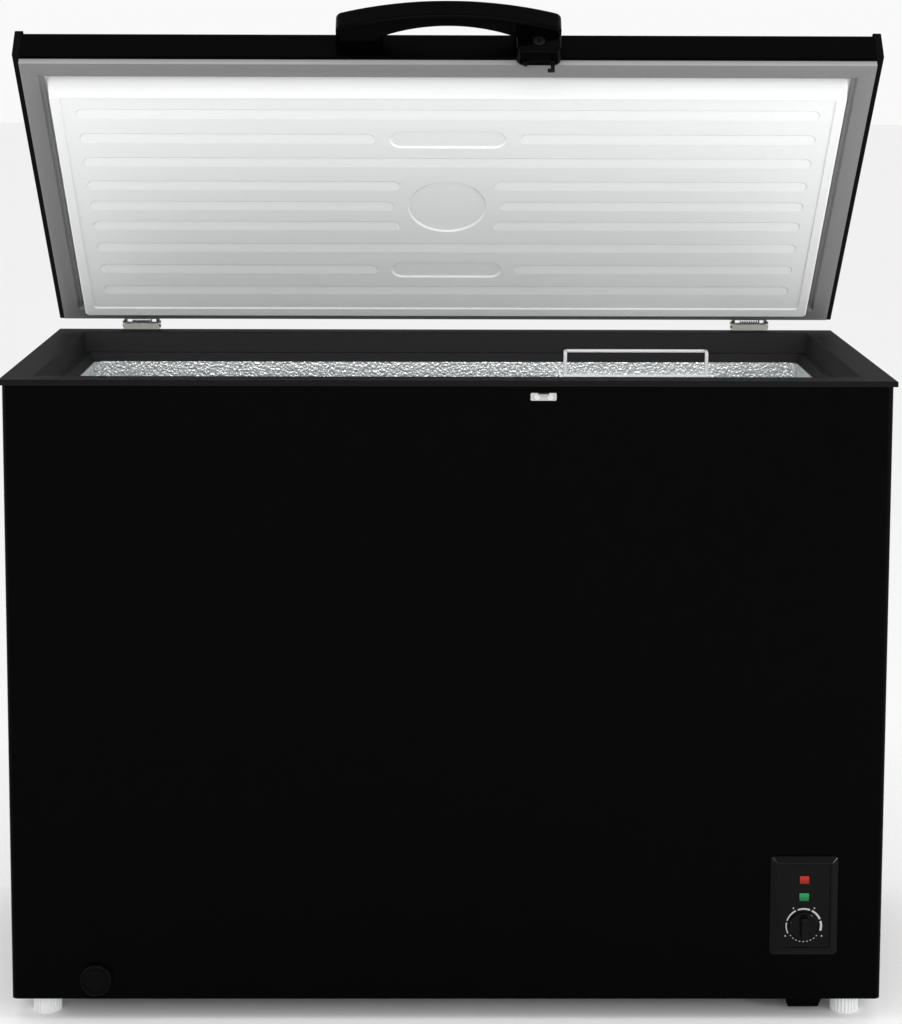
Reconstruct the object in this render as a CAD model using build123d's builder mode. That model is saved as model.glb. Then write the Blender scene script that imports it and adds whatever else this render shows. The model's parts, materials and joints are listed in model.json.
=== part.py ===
from build123d import *
import os
from math import copysign, cos, pi, radians, sin, sqrt, tan

# Chest freezer standing with its lid open, as separate pieces.
# Millimetres, +Z up, +X to the viewer's right, front towards -Y.
# Origin: middle of the footprint, on the floor.

# Overall sizes
RIM_WIDTH = 1096.0           # collar, left to right; the lid is as wide
RIM_DEPTH = 545.0            # collar, front to rear; the lid is as deep
RIM_HEIGHT = 810.0           # top of the collar above the floor
FOOT_HEIGHT = 28.0           # floor to the underside of the cabinet
OPEN_ANGLE = 43.5            # lid angle at rest, from closed

# Sheet and running clearances
SHEET = 1.0                  # steel and aluminium sheet
CLEARANCE = 0.3              # between pieces that move past each other
RUNNING = 0.05               # radial clearance of pins and shafts in their holes

# Cabinet skins
LIP = 4.0                    # collar's overhang past the skins
CABINET_EDGE = 8.0           # radius of the cabinet's upright edges
RETURN = 14.0                # folded flanges of the outer wrap

# Collar section
COLLAR_WALL = 3.0
COLLAR_TOP = 38.5            # width of the flat top
COLLAR_DRAFT = 4.5           # lean of its inner face
LIP_DROP = 7.0               # height of the outer lip
LEDGE_DROP = 27.5            # rim to the ledge that carries the basket
LEDGE_WIDTH = 9.0
LEDGE_DRAFT = 4.0            # lean of the face below the ledge
COLLAR_DEPTH = 39.5          # rim to the collar's lower edge
COLLAR_EDGE = 1.5            # radius of the collar's edges

# Freezing compartment
LINER_INSET = 57.0           # rim's outer edge to the liner's inner face
LINER_CORNER = 18.0          # radius of the liner's upright corners
FLOOR_INSULATION = 58.0
LINER_FLANGE = 5.0

# Compressor bay in the lower right of the cabinet
BAY_WIDTH = 281.0            # inside, from the right skin
BAY_HEIGHT = 239.0           # inside, from the tray
STEP_INSULATION = 48.0       # foam between the bay and the liner's step

# Lid
LID_HEIGHT = 40.0            # steel skin, lower edge to top
LID_GAP = 9.0                # collar's top to the skin's lower edge when shut
LID_EDGE = 5.0               # radius of the skin's front and rear top edges
HEM = 2.0                    # thickness of the turned lower edges
HEM_WIDTH = 14.0
TRIM_WIDTH = 8.5             # end trims, seen from below
TRIM_PROUD = 2.0             # end trims above the skin's top
TRIM_COVER = 2.5             # end trims over the skin's top
TRIM_EDGE = 1.6

# Lid liner
PLUG_INSET = 39.0            # lid's edge to the foot of the plug's wall
PLUG_DROP = 29.0             # skin's lower edge to the plug's face
PLUG_DRAFT = 5.0             # lean of the plug's wall
PLUG_CORNER = 6.0
PLUG_EDGE = 2.0
LID_LINER_WALL = 3.2
LID_LINER_FLANGE = 27.0
FIELD_SIDE = 12.0            # plug's edge to the sunk field of its face
FIELD_FRONT = 3.5
FIELD_REAR = 16.5
FIELD_DEPTH = 1.5
PATTERN_SHIFT = -10.0        # lid's middle to the middle of the pressed pattern
GROOVE_ROWS = 4              # on each side of the middle row
GROOVE_FIRST = 41.6          # middle row to the rows beside it
GROOVE_PITCH = 46.9          # between the other rows
GROOVE_INSET = 75.0          # lid's end to the grooves
GROOVE_WIDTH = 17.0
GROOVE_DEPTH = 0.8           # at the middle of a groove
GROOVE_SLOPE = 6.0           # lean of a groove's floor, deepest at its front
PANEL_ROW = 3                # row with the two long recesses
PANEL_LENGTH = 151.0
PANEL_WIDTH = 33.0
DISC_DIAMETER = 105.0        # the round recess in the middle
RECESS_DEPTH = 1.8
RECESS_LEAN = 50.0           # slope of the sides of recesses and grooves
RECESS_GAP = 19.0            # recess to the end of a groove beside it

# Lid gasket
GASKET_SIDE = 8.5            # lid's edge to the gasket at the sides
GASKET_FRONT = 6.0
GASKET_REAR = 10.0
GASKET_CREST = 22.0          # flat magnet strip
GASKET_WIDTH = 28.0          # with its inner lip
GASKET_LIP = 4.5             # height of the inner lip
GASKET_EDGE = 1.2

# Hinges
HINGE_INSET = 116.0          # lid's end to the middle of a hinge
HINGE_BACK = 9.0             # hinge axis behind the lid's rear face
HINGE_BELOW = 3.0            # hinge axis below the skin's lower edge
HINGE_WIDTH = 50.0
HINGE_PLATE = 2.0
HINGE_PIN = 7.0              # diameter
HINGE_EYE = 7.6              # radius of the rounded ears
HINGE_DROP = 118.0           # bracket below the hinge axis
HINGE_TAPER = 40.0           # start of the ears' slant below the axis
HINGE_FOOT = 9.0             # depth of the ears at their lower end
HINGE_RISE = 8.0             # bracket's plate above the collar's top
LEAF_HEIGHT = 34.0
LEAF_GAP = 0.5               # between the ears of the bracket and of the leaf
HINGE_SCREW = 5.0
SPRING_WIRE = 2.5
SPRING_RADIUS = 5.4          # middle of the wire
SPRING_PITCH = 3.2
SPRING_TURNS = 8
SPRING_LEG = 14.0

# Handle and lock, in front of the lid
HANDLE_LENGTH = 283.0
HANDLE_REACH = 60.0          # lid's front face to the middle of the grip
HANDLE_END_REACH = 36.0
HANDLE_FOOT = 59.0           # width of each foot
HANDLE_GRIP = 21.0           # thickness of the grip in the middle
HANDLE_ARCH_START = 20.0     # where the inner arch leaves the feet
HANDLE_LOW = 13.0            # underside above the skin's lower edge
HANDLE_TOP = 42.0
HANDLE_EDGE = 5.0
LOCK_X = 113.0
LOCK_BOX_WIDTH = 56.0
LOCK_BOX_REACH = 26.0
LOCK_BOX_DROP = 15.0         # lock box below the skin's lower edge
LOCK_BOX_CORNER = 10.0       # radius of its lower corners, seen from the front
LOCK_BOX_EDGE = 4.0
LOCK_HEIGHT = 3.0            # lock's axis above the skin's lower edge
LOCK_DIAMETER = 15.0
LOCK_PROUD = 1.0
LOCK_BOX_GAP = 1.0           # lid's front face to the lock box
KEY_SLOT = 8.0
LATCH_PLATE = 2.5
LATCH_BACK = 6.0             # lid's front face to the latch plate
LATCH_RISE = 2.0             # latch plate's top above the lock's axis
LATCH_TRAVEL = 4.5
CRANK_PIN = 3.0
PRONG_WIDTH = 5.0
PRONG_SPACING = 34.0
HOOK_DROP = 32.0             # hooked prong's tip below the skin's lower edge
PRONG_DROP = 22.0            # plain prong's tip below the skin's lower edge
BARB = 4.0                   # hook's reach to the side
BARB_HEIGHT = 5.0

# Striker plate on the front
STRIKER_SIDE = 3.0           # middle of the plate to the right of the lock
STRIKER_DROP = 20.0          # middle of the plate below the rim
STRIKER_WIDTH = 31.7
STRIKER_HEIGHT = 9.8
STRIKER_PLATE = 1.5
STRIKER_TAB = 13.0           # width of the catch
STRIKER_REACH = 15.0         # catch in front of the skin
STRIKER_PITCH = 16.2         # between its screws
SMALL_SCREW = 3.5

# Plain badge plate
BADGE_INSET = 87.0           # left skin to the badge's middle
BADGE_DROP = 42.0
BADGE_WIDTH = 50.0
BADGE_HEIGHT = 10.0
BADGE_PLATE = 1.4

# Control panel, low on the right of the front
PANEL_INSET = 98.5           # right skin to the panel's middle
PANEL_RISE = 121.5           # middle of the panel above the cabinet's underside
PANEL_BODY_WIDTH = 85.0
PANEL_BODY_HEIGHT = 127.0
PANEL_PROUD = 6.0
PANEL_CORNER = 5.0
PANEL_BEVEL = 4.0
PANEL_BORDER = 10.0
PANEL_RECESS = 2.5
PANEL_SPIGOT = 12.0          # depth of the box behind the face
LAMP_WIDTH = 12.0
LAMP_HEIGHT = 10.0
LAMP_PROUD = 1.2
RED_LAMP_RISE = 33.5         # above the panel's middle
GREEN_LAMP_RISE = 11.5
KNOB_RISE = -25.5
KNOB_DIAMETER = 36.0
KNOB_HEIGHT = 15.0
KNOB_GRIP = 9.0              # width of the raised grip
KNOB_SKIRT = 4.0
KNOB_SHAFT = 6.0
THERMOSTAT_SIZE = 44.0
THERMOSTAT_DEPTH = 30.0

# Drain
DRAIN_INSET = 106.0          # left skin to the drain's axis
DRAIN_RISE = 26.0            # axis above the cabinet's underside
DRAIN_BACK = 120.0           # floor outlet behind the front skin
DRAIN_BORE = 16.0
DRAIN_WALL = 2.0
DRAIN_BEND = 18.0
DRAIN_CAP = 40.0
DRAIN_CAP_THICK = 6.0
DRAIN_STEM = 16.0
PLUG_HEAD = 30.0
PLUG_HEAD_THICK = 4.0
PLUG_TAB = 14.0

# Basket
BASKET_INSET = 225.0         # liner's right wall to the basket's middle
BASKET_WIDTH = 198.0         # between the middles of the end wires
BASKET_HEIGHT = 190.0
BASKET_DROP = 58.0           # rim to the top rail
BASKET_WIRE = 5.0            # loops and rails
MESH_WIRE = 4.0
MESH_SPACING = 48.0          # wires of the ends and sides
WELD = 0.8                   # overlap of crossing wires
BASKET_PLAY = 1.2            # loops to the liner's wall
RAIL_OVERHANG = 6.0          # rails past the end wires, left and right

# Feet
FOOT_SIDE = 39.0             # axis inside the side skins
FOOT_INSET = 41.0            # axis behind the front skin and ahead of the rear
FOOT_DIAMETER = 36.0
FOOT_PAD = 20.0              # height of the ribbed pad
FOOT_RIBS = 24
FOOT_RIB = 1.4
FOOT_NECK = 22.0
FOOT_STUD = 8.0
SOCKET_HEIGHT = 14.0
SOCKET_DIAMETER = 18.0

# Compressor and its pipes
COMPRESSOR_SIDE = 148.0      # axis from the bay's side
COMPRESSOR_BACK = 156.5      # axis ahead of the rear panel
COMPRESSOR_DIAMETER = 156.0
COMPRESSOR_HEIGHT = 165.0
COMPRESSOR_WALL = 3.5
COMPRESSOR_DOME = 45.0
RAIL_LENGTH = 190.0
RAIL_WIDTH = 130.0
RAIL_PLATE = 3.0
GROMMET_PITCH_X = 150.0
GROMMET_PITCH_Y = 100.0
GROMMET_DIAMETER = 24.0
GROMMET_HEIGHT = 16.0
GROMMET_BOLT = 8.0
PUMP_DIAMETER = 108.0
PUMP_HEIGHT = 92.0
PUMP_SEAT = 20.0
RELAY_WIDTH = 48.0
RELAY_DEPTH = 30.0
RELAY_HEIGHT = 56.0
TRAY_PLATE = 2.0
DIMPLE_SIDE = 188.0          # middle from the bay's side
DIMPLE_WIDTH = 50.0
DIMPLE_LENGTH = 70.0
DIMPLE_DROP = 21.0
DIMPLE_LEAN = 6.0
EVAPORATOR_TUBE = 8.0
EVAPORATOR_TURNS = 5
EVAPORATOR_MARGIN = 21.5     # top of the coil below the collar
CONDENSER_TUBE = 5.0
CONDENSER_RUNS = 4
CONDENSER_PITCH = 100.0
CONDENSER_INSET = 73.0       # side skin to the ends of its runs
CAPILLARY_TUBE = 2.4
TUBE_BEND = 16.0
TUBE_PLAY = 0.2              # between a tube and its channel in the foam
DRIER_DIAMETER = 20.0
DRIER_LENGTH = 110.0

# Rear grille and cord inlet
GRILLE_WIDTH = 222.0
GRILLE_HEIGHT = 200.0
GRILLE_SIDE = 157.0          # middle from the bay's side
GRILLE_PLATE = 3.0
GRILLE_BORDER = 18.0
SLAT_COUNT = 13
SLAT_WIDTH = 7.0
GRILLE_SCREW = 4.0
INLET_SIDE = 25.0            # axis from the bay's side
INLET_RISE = 40.0            # above the cabinet's underside
INLET_BORE = 8.0
INLET_BODY = 14.0
INLET_FLANGE = 22.0
INLET_LENGTH = 10.0

# Levels and faces worked out from the sizes above
RIM_FRONT = -RIM_DEPTH / 2
RIM_REAR = RIM_DEPTH / 2
SKIN_X = RIM_WIDTH / 2 - LIP
SKIN_FRONT = RIM_FRONT + LIP
SKIN_REAR = RIM_REAR - LIP
INNER_X = SKIN_X - SHEET
INNER_FRONT = SKIN_FRONT + SHEET
PANEL_REAR = SKIN_REAR - SHEET
INNER_REAR = PANEL_REAR - SHEET
SKIN_TOP = RIM_HEIGHT - COLLAR_WALL
FLOOR_LEVEL = FOOT_HEIGHT + SHEET
FOAM_BASE = FLOOR_LEVEL + SHEET
LEDGE_LEVEL = RIM_HEIGHT - LEDGE_DROP
COLLAR_LOW = RIM_HEIGHT - COLLAR_DEPTH
LINER_X = RIM_WIDTH / 2 - LINER_INSET
LINER_Y = RIM_DEPTH / 2 - LINER_INSET
LINER_FLOOR = FOAM_BASE + FLOOR_INSULATION
TRAY_TOP = FLOOR_LEVEL + TRAY_PLATE
BAY_X = INNER_X - BAY_WIDTH
BAY_ROOF = TRAY_TOP + BAY_HEIGHT
STEP_LEVEL = BAY_ROOF + SHEET + STEP_INSULATION
STEP_X = BAY_X - STEP_INSULATION
LID_UNDER = RIM_HEIGHT + LID_GAP
LID_TOP = LID_UNDER + LID_HEIGHT
HINGE_Y = RIM_REAR + HINGE_BACK
HINGE_Z = LID_UNDER - HINGE_BELOW
LID_X = RIM_WIDTH / 2
HINGE_X = LID_X - HINGE_INSET
GROOVE_LENGTH = RIM_WIDTH - 2 * GROOVE_INSET
STRIKER_X = LOCK_X + STRIKER_SIDE
BADGE_X = BADGE_INSET - SKIN_X
PANEL_X = SKIN_X - PANEL_INSET
PANEL_Z = FOOT_HEIGHT + PANEL_RISE
KNOB_Z = PANEL_Z + KNOB_RISE
STRIKER_Z = RIM_HEIGHT - STRIKER_DROP
DRAIN_X = DRAIN_INSET - SKIN_X
DRAIN_Z = FOOT_HEIGHT + DRAIN_RISE
DRAIN_Y = SKIN_FRONT + DRAIN_BACK
LOCK_Z = LID_UNDER + LOCK_HEIGHT
BASKET_X = LINER_X - BASKET_INSET
COMPRESSOR_X = BAY_X + COMPRESSOR_SIDE
COMPRESSOR_Y = INNER_REAR - COMPRESSOR_BACK
DIMPLE_X = BAY_X + DIMPLE_SIDE
GRILLE_X = BAY_X + GRILLE_SIDE
GRILLE_Z = (TRAY_TOP + BAY_ROOF) / 2
INLET_X = BAY_X + INLET_SIDE
INLET_Z = FOOT_HEIGHT + INLET_RISE
FOOT_X = SKIN_X - FOOT_SIDE
FEET = [(x, y) for y in (SKIN_FRONT + FOOT_INSET, SKIN_REAR - FOOT_INSET) for x in (-FOOT_X, FOOT_X)]
FOOT_NAMES = ("foot_front_left", "foot_front_right", "foot_rear_left", "foot_rear_right")

# Turning the lid's own planes from shut to open, about the hinge axis
HINGE_PLACE = Location((0, HINGE_Y, HINGE_Z))
OPENING = HINGE_PLACE * Location((0, 0, 0), (-OPEN_ANGLE, 0, 0)) * HINGE_PLACE.inverse()


def opened(plane):
    """The plane of a shut lid, carried to where it stands open."""
    return Plane(OPENING * plane.location)


def level(height):
    """A plane of the shut lid at this height, facing up."""
    return opened(Plane.XY.offset(height))


def facing_front(y):
    """A plane of the shut lid at this depth, facing front."""
    return opened(Plane.XZ.offset(-y))


def facing_side(x):
    """A plane of the shut lid at this place across, facing right."""
    return opened(Plane.YZ.offset(x))


def save(piece, name):
    """Labels a finished piece and writes it."""
    piece.part.label = name
    export_step(piece.part, f"parts/{name}.step")


def tube(path, diameter, mode=Mode.ADD):
    """A round bar along a path, in the part being built."""
    with BuildSketch(Plane(origin=path @ 0, z_dir=path % 0)) as section:
        Circle(diameter / 2)
    sweep(sections=section.sketch, path=path, mode=mode)


def rod(points, diameter, bend, mode=Mode.ADD, closed=False):
    """A round wire or tube along straight runs with rounded bends, in the part being built."""
    with BuildLine() as route:
        if len(points) > 2:
            FilletPolyline(*points, radius=bend, close=closed)
        else:
            Polyline(*points)
    tube(route.wires()[0], diameter, mode)


def mitred_frame(plane, width, front, rear, outline, rounded, radius):
    """A ring with mitred corners: the outline (inset, height) goes round a rectangle on the plane."""
    half = width / 2
    with BuildLine(plane) as route:
        Polyline((0, front), (half, front), (half, rear), (-half, rear), (-half, front), close=True)
    origin = plane.from_local_coords((0, front, 0))
    with BuildSketch(Plane(origin=origin, x_dir=plane.y_dir, z_dir=plane.x_dir)) as section:
        with BuildLine():
            Polyline(*outline, close=True)
        make_face()
        fillet([section.vertices().sort_by_distance((*spot, 0))[0] for spot in rounded], radius)
    sweep(sections=section.sketch, path=route.wires()[0], transition=Transition.RIGHT)


def inside_plan():
    """The plan of the space inside the skins, in the sketch being drawn."""
    RectangleRounded(2 * INNER_X, PANEL_REAR - INNER_FRONT, CABINET_EDGE - SHEET)
    with Locations((0, PANEL_REAR)):
        Rectangle(2 * INNER_X, 2 * SHEET, mode=Mode.SUBTRACT)


def tub(grow):
    """The freezing compartment, wider by grow, with its step over the compressor bay."""
    left = -LINER_X - grow
    floor = LINER_FLOOR - grow
    step = STEP_LEVEL - grow
    with BuildSketch(Plane.XZ) as side:
        with BuildLine():
            Polyline(
                (left, COLLAR_LOW), (left, floor), (STEP_X + grow, floor),
                (STEP_X + grow, step), (-left, step), (-left, COLLAR_LOW), close=True,
            )
        make_face()
    extrude(side.sketch, amount=LINER_Y + grow, both=True)
    upright = edges().filter_by(Axis.Z).group_by(Axis.X)
    fillet(upright[0] + upright[-1], LINER_CORNER + grow)


def screws(plane, spots, diameter, length):
    """Pan-head screws with a cross slot; their heads stand on the plane."""
    head = 0.55 * diameter
    with BuildSketch(plane) as heads:
        with Locations(*spots):
            Circle(diameter)
    extrude(heads.sketch, amount=head)
    with BuildSketch(plane) as shanks:
        with Locations(*spots):
            Circle(diameter / 2)
    extrude(shanks.sketch, amount=-length)
    with BuildSketch(plane.offset(head)) as slots:
        with Locations(*spots):
            Rectangle(diameter, 0.22 * diameter)
            Rectangle(0.22 * diameter, diameter)
    extrude(slots.sketch, amount=-0.5 * head, mode=Mode.SUBTRACT)


os.makedirs("parts", exist_ok=True)

# Outer wrap: front and sides in one folded sheet, open at the rear
with BuildPart() as outer_wrap:
    with BuildSketch(Plane.XY.offset(FOOT_HEIGHT)):
        RectangleRounded(2 * SKIN_X, SKIN_REAR - SKIN_FRONT, CABINET_EDGE)
        RectangleRounded(2 * INNER_X, PANEL_REAR - INNER_FRONT, CABINET_EDGE - SHEET, mode=Mode.SUBTRACT)
        with Locations((0, SKIN_REAR)):
            Rectangle(2 * (SKIN_X - RETURN), 4 * SHEET, mode=Mode.SUBTRACT)
    extrude(amount=SKIN_TOP - FOOT_HEIGHT)
    with BuildSketch(Plane.XY.offset(FOOT_HEIGHT)):
        inside_plan()
        with Locations((0, (SKIN_REAR - SKIN_FRONT) / 4)):
            Rectangle(2 * (SKIN_X - RETURN), 1.5 * (SKIN_REAR - SKIN_FRONT) - 2 * RETURN, mode=Mode.SUBTRACT)
    extrude(amount=SHEET)
    with BuildSketch(Plane.XZ.offset(-SKIN_FRONT)):
        with Locations((PANEL_X, PANEL_Z)):
            Rectangle(PANEL_BODY_WIDTH - 2 * PANEL_BORDER, PANEL_BODY_HEIGHT - 2 * PANEL_BORDER)
        with Locations((DRAIN_X, DRAIN_Z)):
            Circle(DRAIN_BORE / 2 + DRAIN_WALL + CLEARANCE)
        with Locations((STRIKER_X, STRIKER_Z)), GridLocations(STRIKER_PITCH, 0, 2, 1):
            Circle(SMALL_SCREW / 2 + CLEARANCE)
    extrude(amount=-SHEET, mode=Mode.SUBTRACT)
save(outer_wrap, "outer_wrap")

# Rear panel with the bay's opening, the cord inlet and the hinge screw holes
HINGE_SCREW_SPOTS = [
    (side * HINGE_X + across, HINGE_Z - drop)
    for side in (-1, 1)
    for across in (-HINGE_WIDTH / 4, HINGE_WIDTH / 4)
    for drop in (HINGE_DROP - 3 * HINGE_SCREW, HINGE_DROP - 10 * HINGE_SCREW)
]
GRILLE_SCREW_SPOTS = [
    (GRILLE_X + right * (GRILLE_WIDTH - GRILLE_BORDER) / 2, GRILLE_Z + up * (GRILLE_HEIGHT - GRILLE_BORDER) / 2)
    for right in (-1, 1)
    for up in (-1, 1)
]
with BuildPart() as rear_panel:
    with BuildSketch(Plane.XZ.offset(-PANEL_REAR)):
        with Locations((0, (FLOOR_LEVEL + SKIN_TOP) / 2)):
            Rectangle(2 * (SKIN_X - CABINET_EDGE), SKIN_TOP - FLOOR_LEVEL)
        with Locations((GRILLE_X, GRILLE_Z)):
            Rectangle(
                GRILLE_WIDTH - 2 * GRILLE_BORDER, GRILLE_HEIGHT - 2 * GRILLE_BORDER, mode=Mode.SUBTRACT
            )
        with Locations((INLET_X, INLET_Z)):
            Circle(INLET_BODY / 2, mode=Mode.SUBTRACT)
        with Locations(*HINGE_SCREW_SPOTS):
            Circle(HINGE_SCREW / 2, mode=Mode.SUBTRACT)
        with Locations(*GRILLE_SCREW_SPOTS):
            Circle(GRILLE_SCREW / 2, mode=Mode.SUBTRACT)
    extrude(amount=SHEET)
save(rear_panel, "rear_panel")

# Routes of the refrigerant tubes
CONDENSER_Y = INNER_REAR - CONDENSER_TUBE
CONDENSER_LOW = STEP_LEVEL + CONDENSER_TUBE
CONDENSER_HALF = INNER_X - CONDENSER_INSET
RETURN_X = INNER_X - 1.5 * DRIER_DIAMETER
DRIER_Y = INNER_REAR - DRIER_DIAMETER / 2 - TUBE_PLAY
DRIER_TOP = BAY_ROOF - 3 * DRIER_DIAMETER
STUB_Z = TRAY_TOP + GROMMET_HEIGHT + RAIL_PLATE + COMPRESSOR_HEIGHT / 2
condenser_route = [
    (COMPRESSOR_X, COMPRESSOR_Y + COMPRESSOR_DIAMETER / 2 + COMPRESSOR_WALL, STUB_Z),
    (COMPRESSOR_X, CONDENSER_Y, STUB_Z),
    (COMPRESSOR_X, CONDENSER_Y, CONDENSER_LOW),
]
for run in range(CONDENSER_RUNS):
    height = CONDENSER_LOW + run * CONDENSER_PITCH
    turn = -CONDENSER_HALF if run % 2 == 0 else CONDENSER_HALF
    if run < CONDENSER_RUNS - 1:
        condenser_route += [(turn, CONDENSER_Y, height), (turn, CONDENSER_Y, height + CONDENSER_PITCH)]
condenser_route += [
    (RETURN_X, CONDENSER_Y, CONDENSER_LOW + (CONDENSER_RUNS - 1) * CONDENSER_PITCH),
    (RETURN_X, CONDENSER_Y, BAY_ROOF),
    (RETURN_X, DRIER_Y, BAY_ROOF - 2 * TUBE_BEND),
    (RETURN_X, DRIER_Y, DRIER_TOP),
]
RISER_X = INNER_X - 3 * EVAPORATOR_TUBE
COIL_X = LINER_X + SHEET + EVAPORATOR_TUBE
COIL_Y = LINER_Y + SHEET + EVAPORATOR_TUBE
COIL_LOW = STEP_LEVEL + 5 * EVAPORATOR_TUBE
EVAPORATOR_PITCH = (COLLAR_LOW - EVAPORATOR_MARGIN - COIL_LOW) / EVAPORATOR_TURNS
evaporator_route = [
    (COMPRESSOR_X + COMPRESSOR_DIAMETER / 2 + COMPRESSOR_WALL, COMPRESSOR_Y, STUB_Z),
    (RISER_X, COMPRESSOR_Y, STUB_Z),
    (RISER_X, COMPRESSOR_Y, COIL_LOW),
    (COIL_X, COMPRESSOR_Y - COIL_Y / 4, COIL_LOW),
]
for turn in range(EVAPORATOR_TURNS):
    for quarter, (x, y) in enumerate(((1, -1), (-1, -1), (-1, 1), (1, 1))):
        rise = (turn + quarter / 4) * EVAPORATOR_PITCH
        evaporator_route.append((x * COIL_X, y * COIL_Y, COIL_LOW + rise))
COIL_END = COIL_LOW + (EVAPORATOR_TURNS - 0.25) * EVAPORATOR_PITCH
evaporator_route[-1] = (RISER_X, COIL_Y, COIL_END)
CAPILLARY_X = INNER_X - CABINET_EDGE
CAPILLARY_LOW = DRIER_TOP - DRIER_LENGTH
capillary_route = [
    (RETURN_X, DRIER_Y, CAPILLARY_LOW),
    (RETURN_X, DRIER_Y, CAPILLARY_LOW - 2 * TUBE_BEND),
    (CAPILLARY_X, DRIER_Y, CAPILLARY_LOW - TUBE_BEND),
    (CAPILLARY_X, DRIER_Y, COIL_END),
    (CAPILLARY_X, COIL_Y, COIL_END),
    (RISER_X + TUBE_PLAY, COIL_Y, COIL_END),
]
CAPILLARY_BEND = TUBE_BEND / 4
PIPE_ROUTES = [
    ("condenser_tube", condenser_route, CONDENSER_TUBE, TUBE_BEND / 2),
    ("evaporator_tube", evaporator_route, EVAPORATOR_TUBE, TUBE_BEND),
    ("capillary_tube", capillary_route, CAPILLARY_TUBE, CAPILLARY_BEND),
]
channels = []
for name, route, diameter, bend in PIPE_ROUTES:
    with BuildPart() as pipe:
        rod(route, diameter, bend)
    save(pipe, name)
    with BuildPart() as channel:
        rod(route, diameter + 2 * TUBE_PLAY, bend)
    channels.append(channel.part)

# Floor panel: the cabinet's floor, the bay's side and the bay's roof in one folded sheet
with BuildPart() as floor_panel:
    with BuildSketch(Plane.XY.offset(FLOOR_LEVEL)):
        inside_plan()
        with Locations((BAY_X + RIM_WIDTH / 2, 0)):
            Rectangle(RIM_WIDTH, RIM_DEPTH, mode=Mode.SUBTRACT)
        with Locations(*[spot for spot in FEET if spot[0] < 0]):
            Circle(FOOT_STUD / 2 + CLEARANCE, mode=Mode.SUBTRACT)
    extrude(amount=SHEET)
    with BuildSketch(Plane.XY.offset(FLOOR_LEVEL)):
        with Locations((BAY_X - SHEET / 2, (INNER_FRONT + INNER_REAR) / 2)):
            Rectangle(SHEET, INNER_REAR - INNER_FRONT)
    extrude(amount=BAY_ROOF + SHEET - FLOOR_LEVEL)
    with BuildSketch(Plane.XY.offset(BAY_ROOF)):
        inside_plan()
        with Locations((BAY_X - SHEET - RIM_WIDTH / 2, 0)):
            Rectangle(RIM_WIDTH, RIM_DEPTH, mode=Mode.SUBTRACT)
        with Locations((RISER_X, COMPRESSOR_Y)):
            Circle(EVAPORATOR_TUBE / 2 + CLEARANCE, mode=Mode.SUBTRACT)
        with Locations((INNER_X, INNER_REAR)):
            Rectangle(
                2 * (INNER_X - COMPRESSOR_X + CONDENSER_TUBE), 2 * DRIER_DIAMETER, mode=Mode.SUBTRACT
            )
    extrude(amount=SHEET)
save(floor_panel, "floor_panel")

# Freezing compartment's space, the same with the liner's sheet round it, and the liner itself
with BuildPart() as compartment:
    tub(0)
with BuildPart() as liner_space:
    tub(SHEET)
with BuildPart() as inner_liner:
    add(liner_space.part)
    add(compartment.part, mode=Mode.SUBTRACT)
    with BuildSketch(Plane.XY.offset(COLLAR_LOW)):
        rim_corner = LINER_CORNER + SHEET + LINER_FLANGE
        RectangleRounded(
            2 * (LINER_X + SHEET + LINER_FLANGE), 2 * (LINER_Y + SHEET + LINER_FLANGE), rim_corner
        )
        RectangleRounded(2 * LINER_X, 2 * LINER_Y, LINER_CORNER, mode=Mode.SUBTRACT)
    extrude(amount=-SHEET)
    with BuildSketch(Plane.XY.offset(LINER_FLOOR)):
        with Locations((DRAIN_X, DRAIN_Y)):
            Circle(DRAIN_BORE / 2)
    extrude(amount=-SHEET, mode=Mode.SUBTRACT)
save(inner_liner, "inner_liner")

# Drain pipe from the compartment's floor to the front
DRAIN_MOUTH = SKIN_FRONT - 2 * SHEET
drain_route = [
    (DRAIN_X, DRAIN_Y, LINER_FLOOR - SHEET),
    (DRAIN_X, DRAIN_Y, DRAIN_Z),
    (DRAIN_X, DRAIN_MOUTH, DRAIN_Z),
]
with BuildPart() as drain_pipe:
    rod(drain_route, DRAIN_BORE + 2 * DRAIN_WALL, DRAIN_BEND)
    rod(drain_route, DRAIN_BORE, DRAIN_BEND, mode=Mode.SUBTRACT)
save(drain_pipe, "drain_pipe")
with BuildPart() as drain_channel:
    rod(drain_route, DRAIN_BORE + 2 * DRAIN_WALL + 2 * TUBE_PLAY, DRAIN_BEND)
channels.append(drain_channel.part)

# Threaded sockets for the feet: two on the floor panel, two on the tray
socket_base = {spot: FOAM_BASE if spot[0] < 0 else TRAY_TOP for spot in FEET}
with BuildPart() as foot_sockets:
    for spot, base in socket_base.items():
        with BuildSketch(Plane.XY.offset(base)):
            with Locations(spot):
                RegularPolygon(SOCKET_DIAMETER / 2, 6)
                Circle(FOOT_STUD / 2 + RUNNING, mode=Mode.SUBTRACT)
        extrude(amount=SOCKET_HEIGHT)
save(foot_sockets, "foot_sockets")

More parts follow.
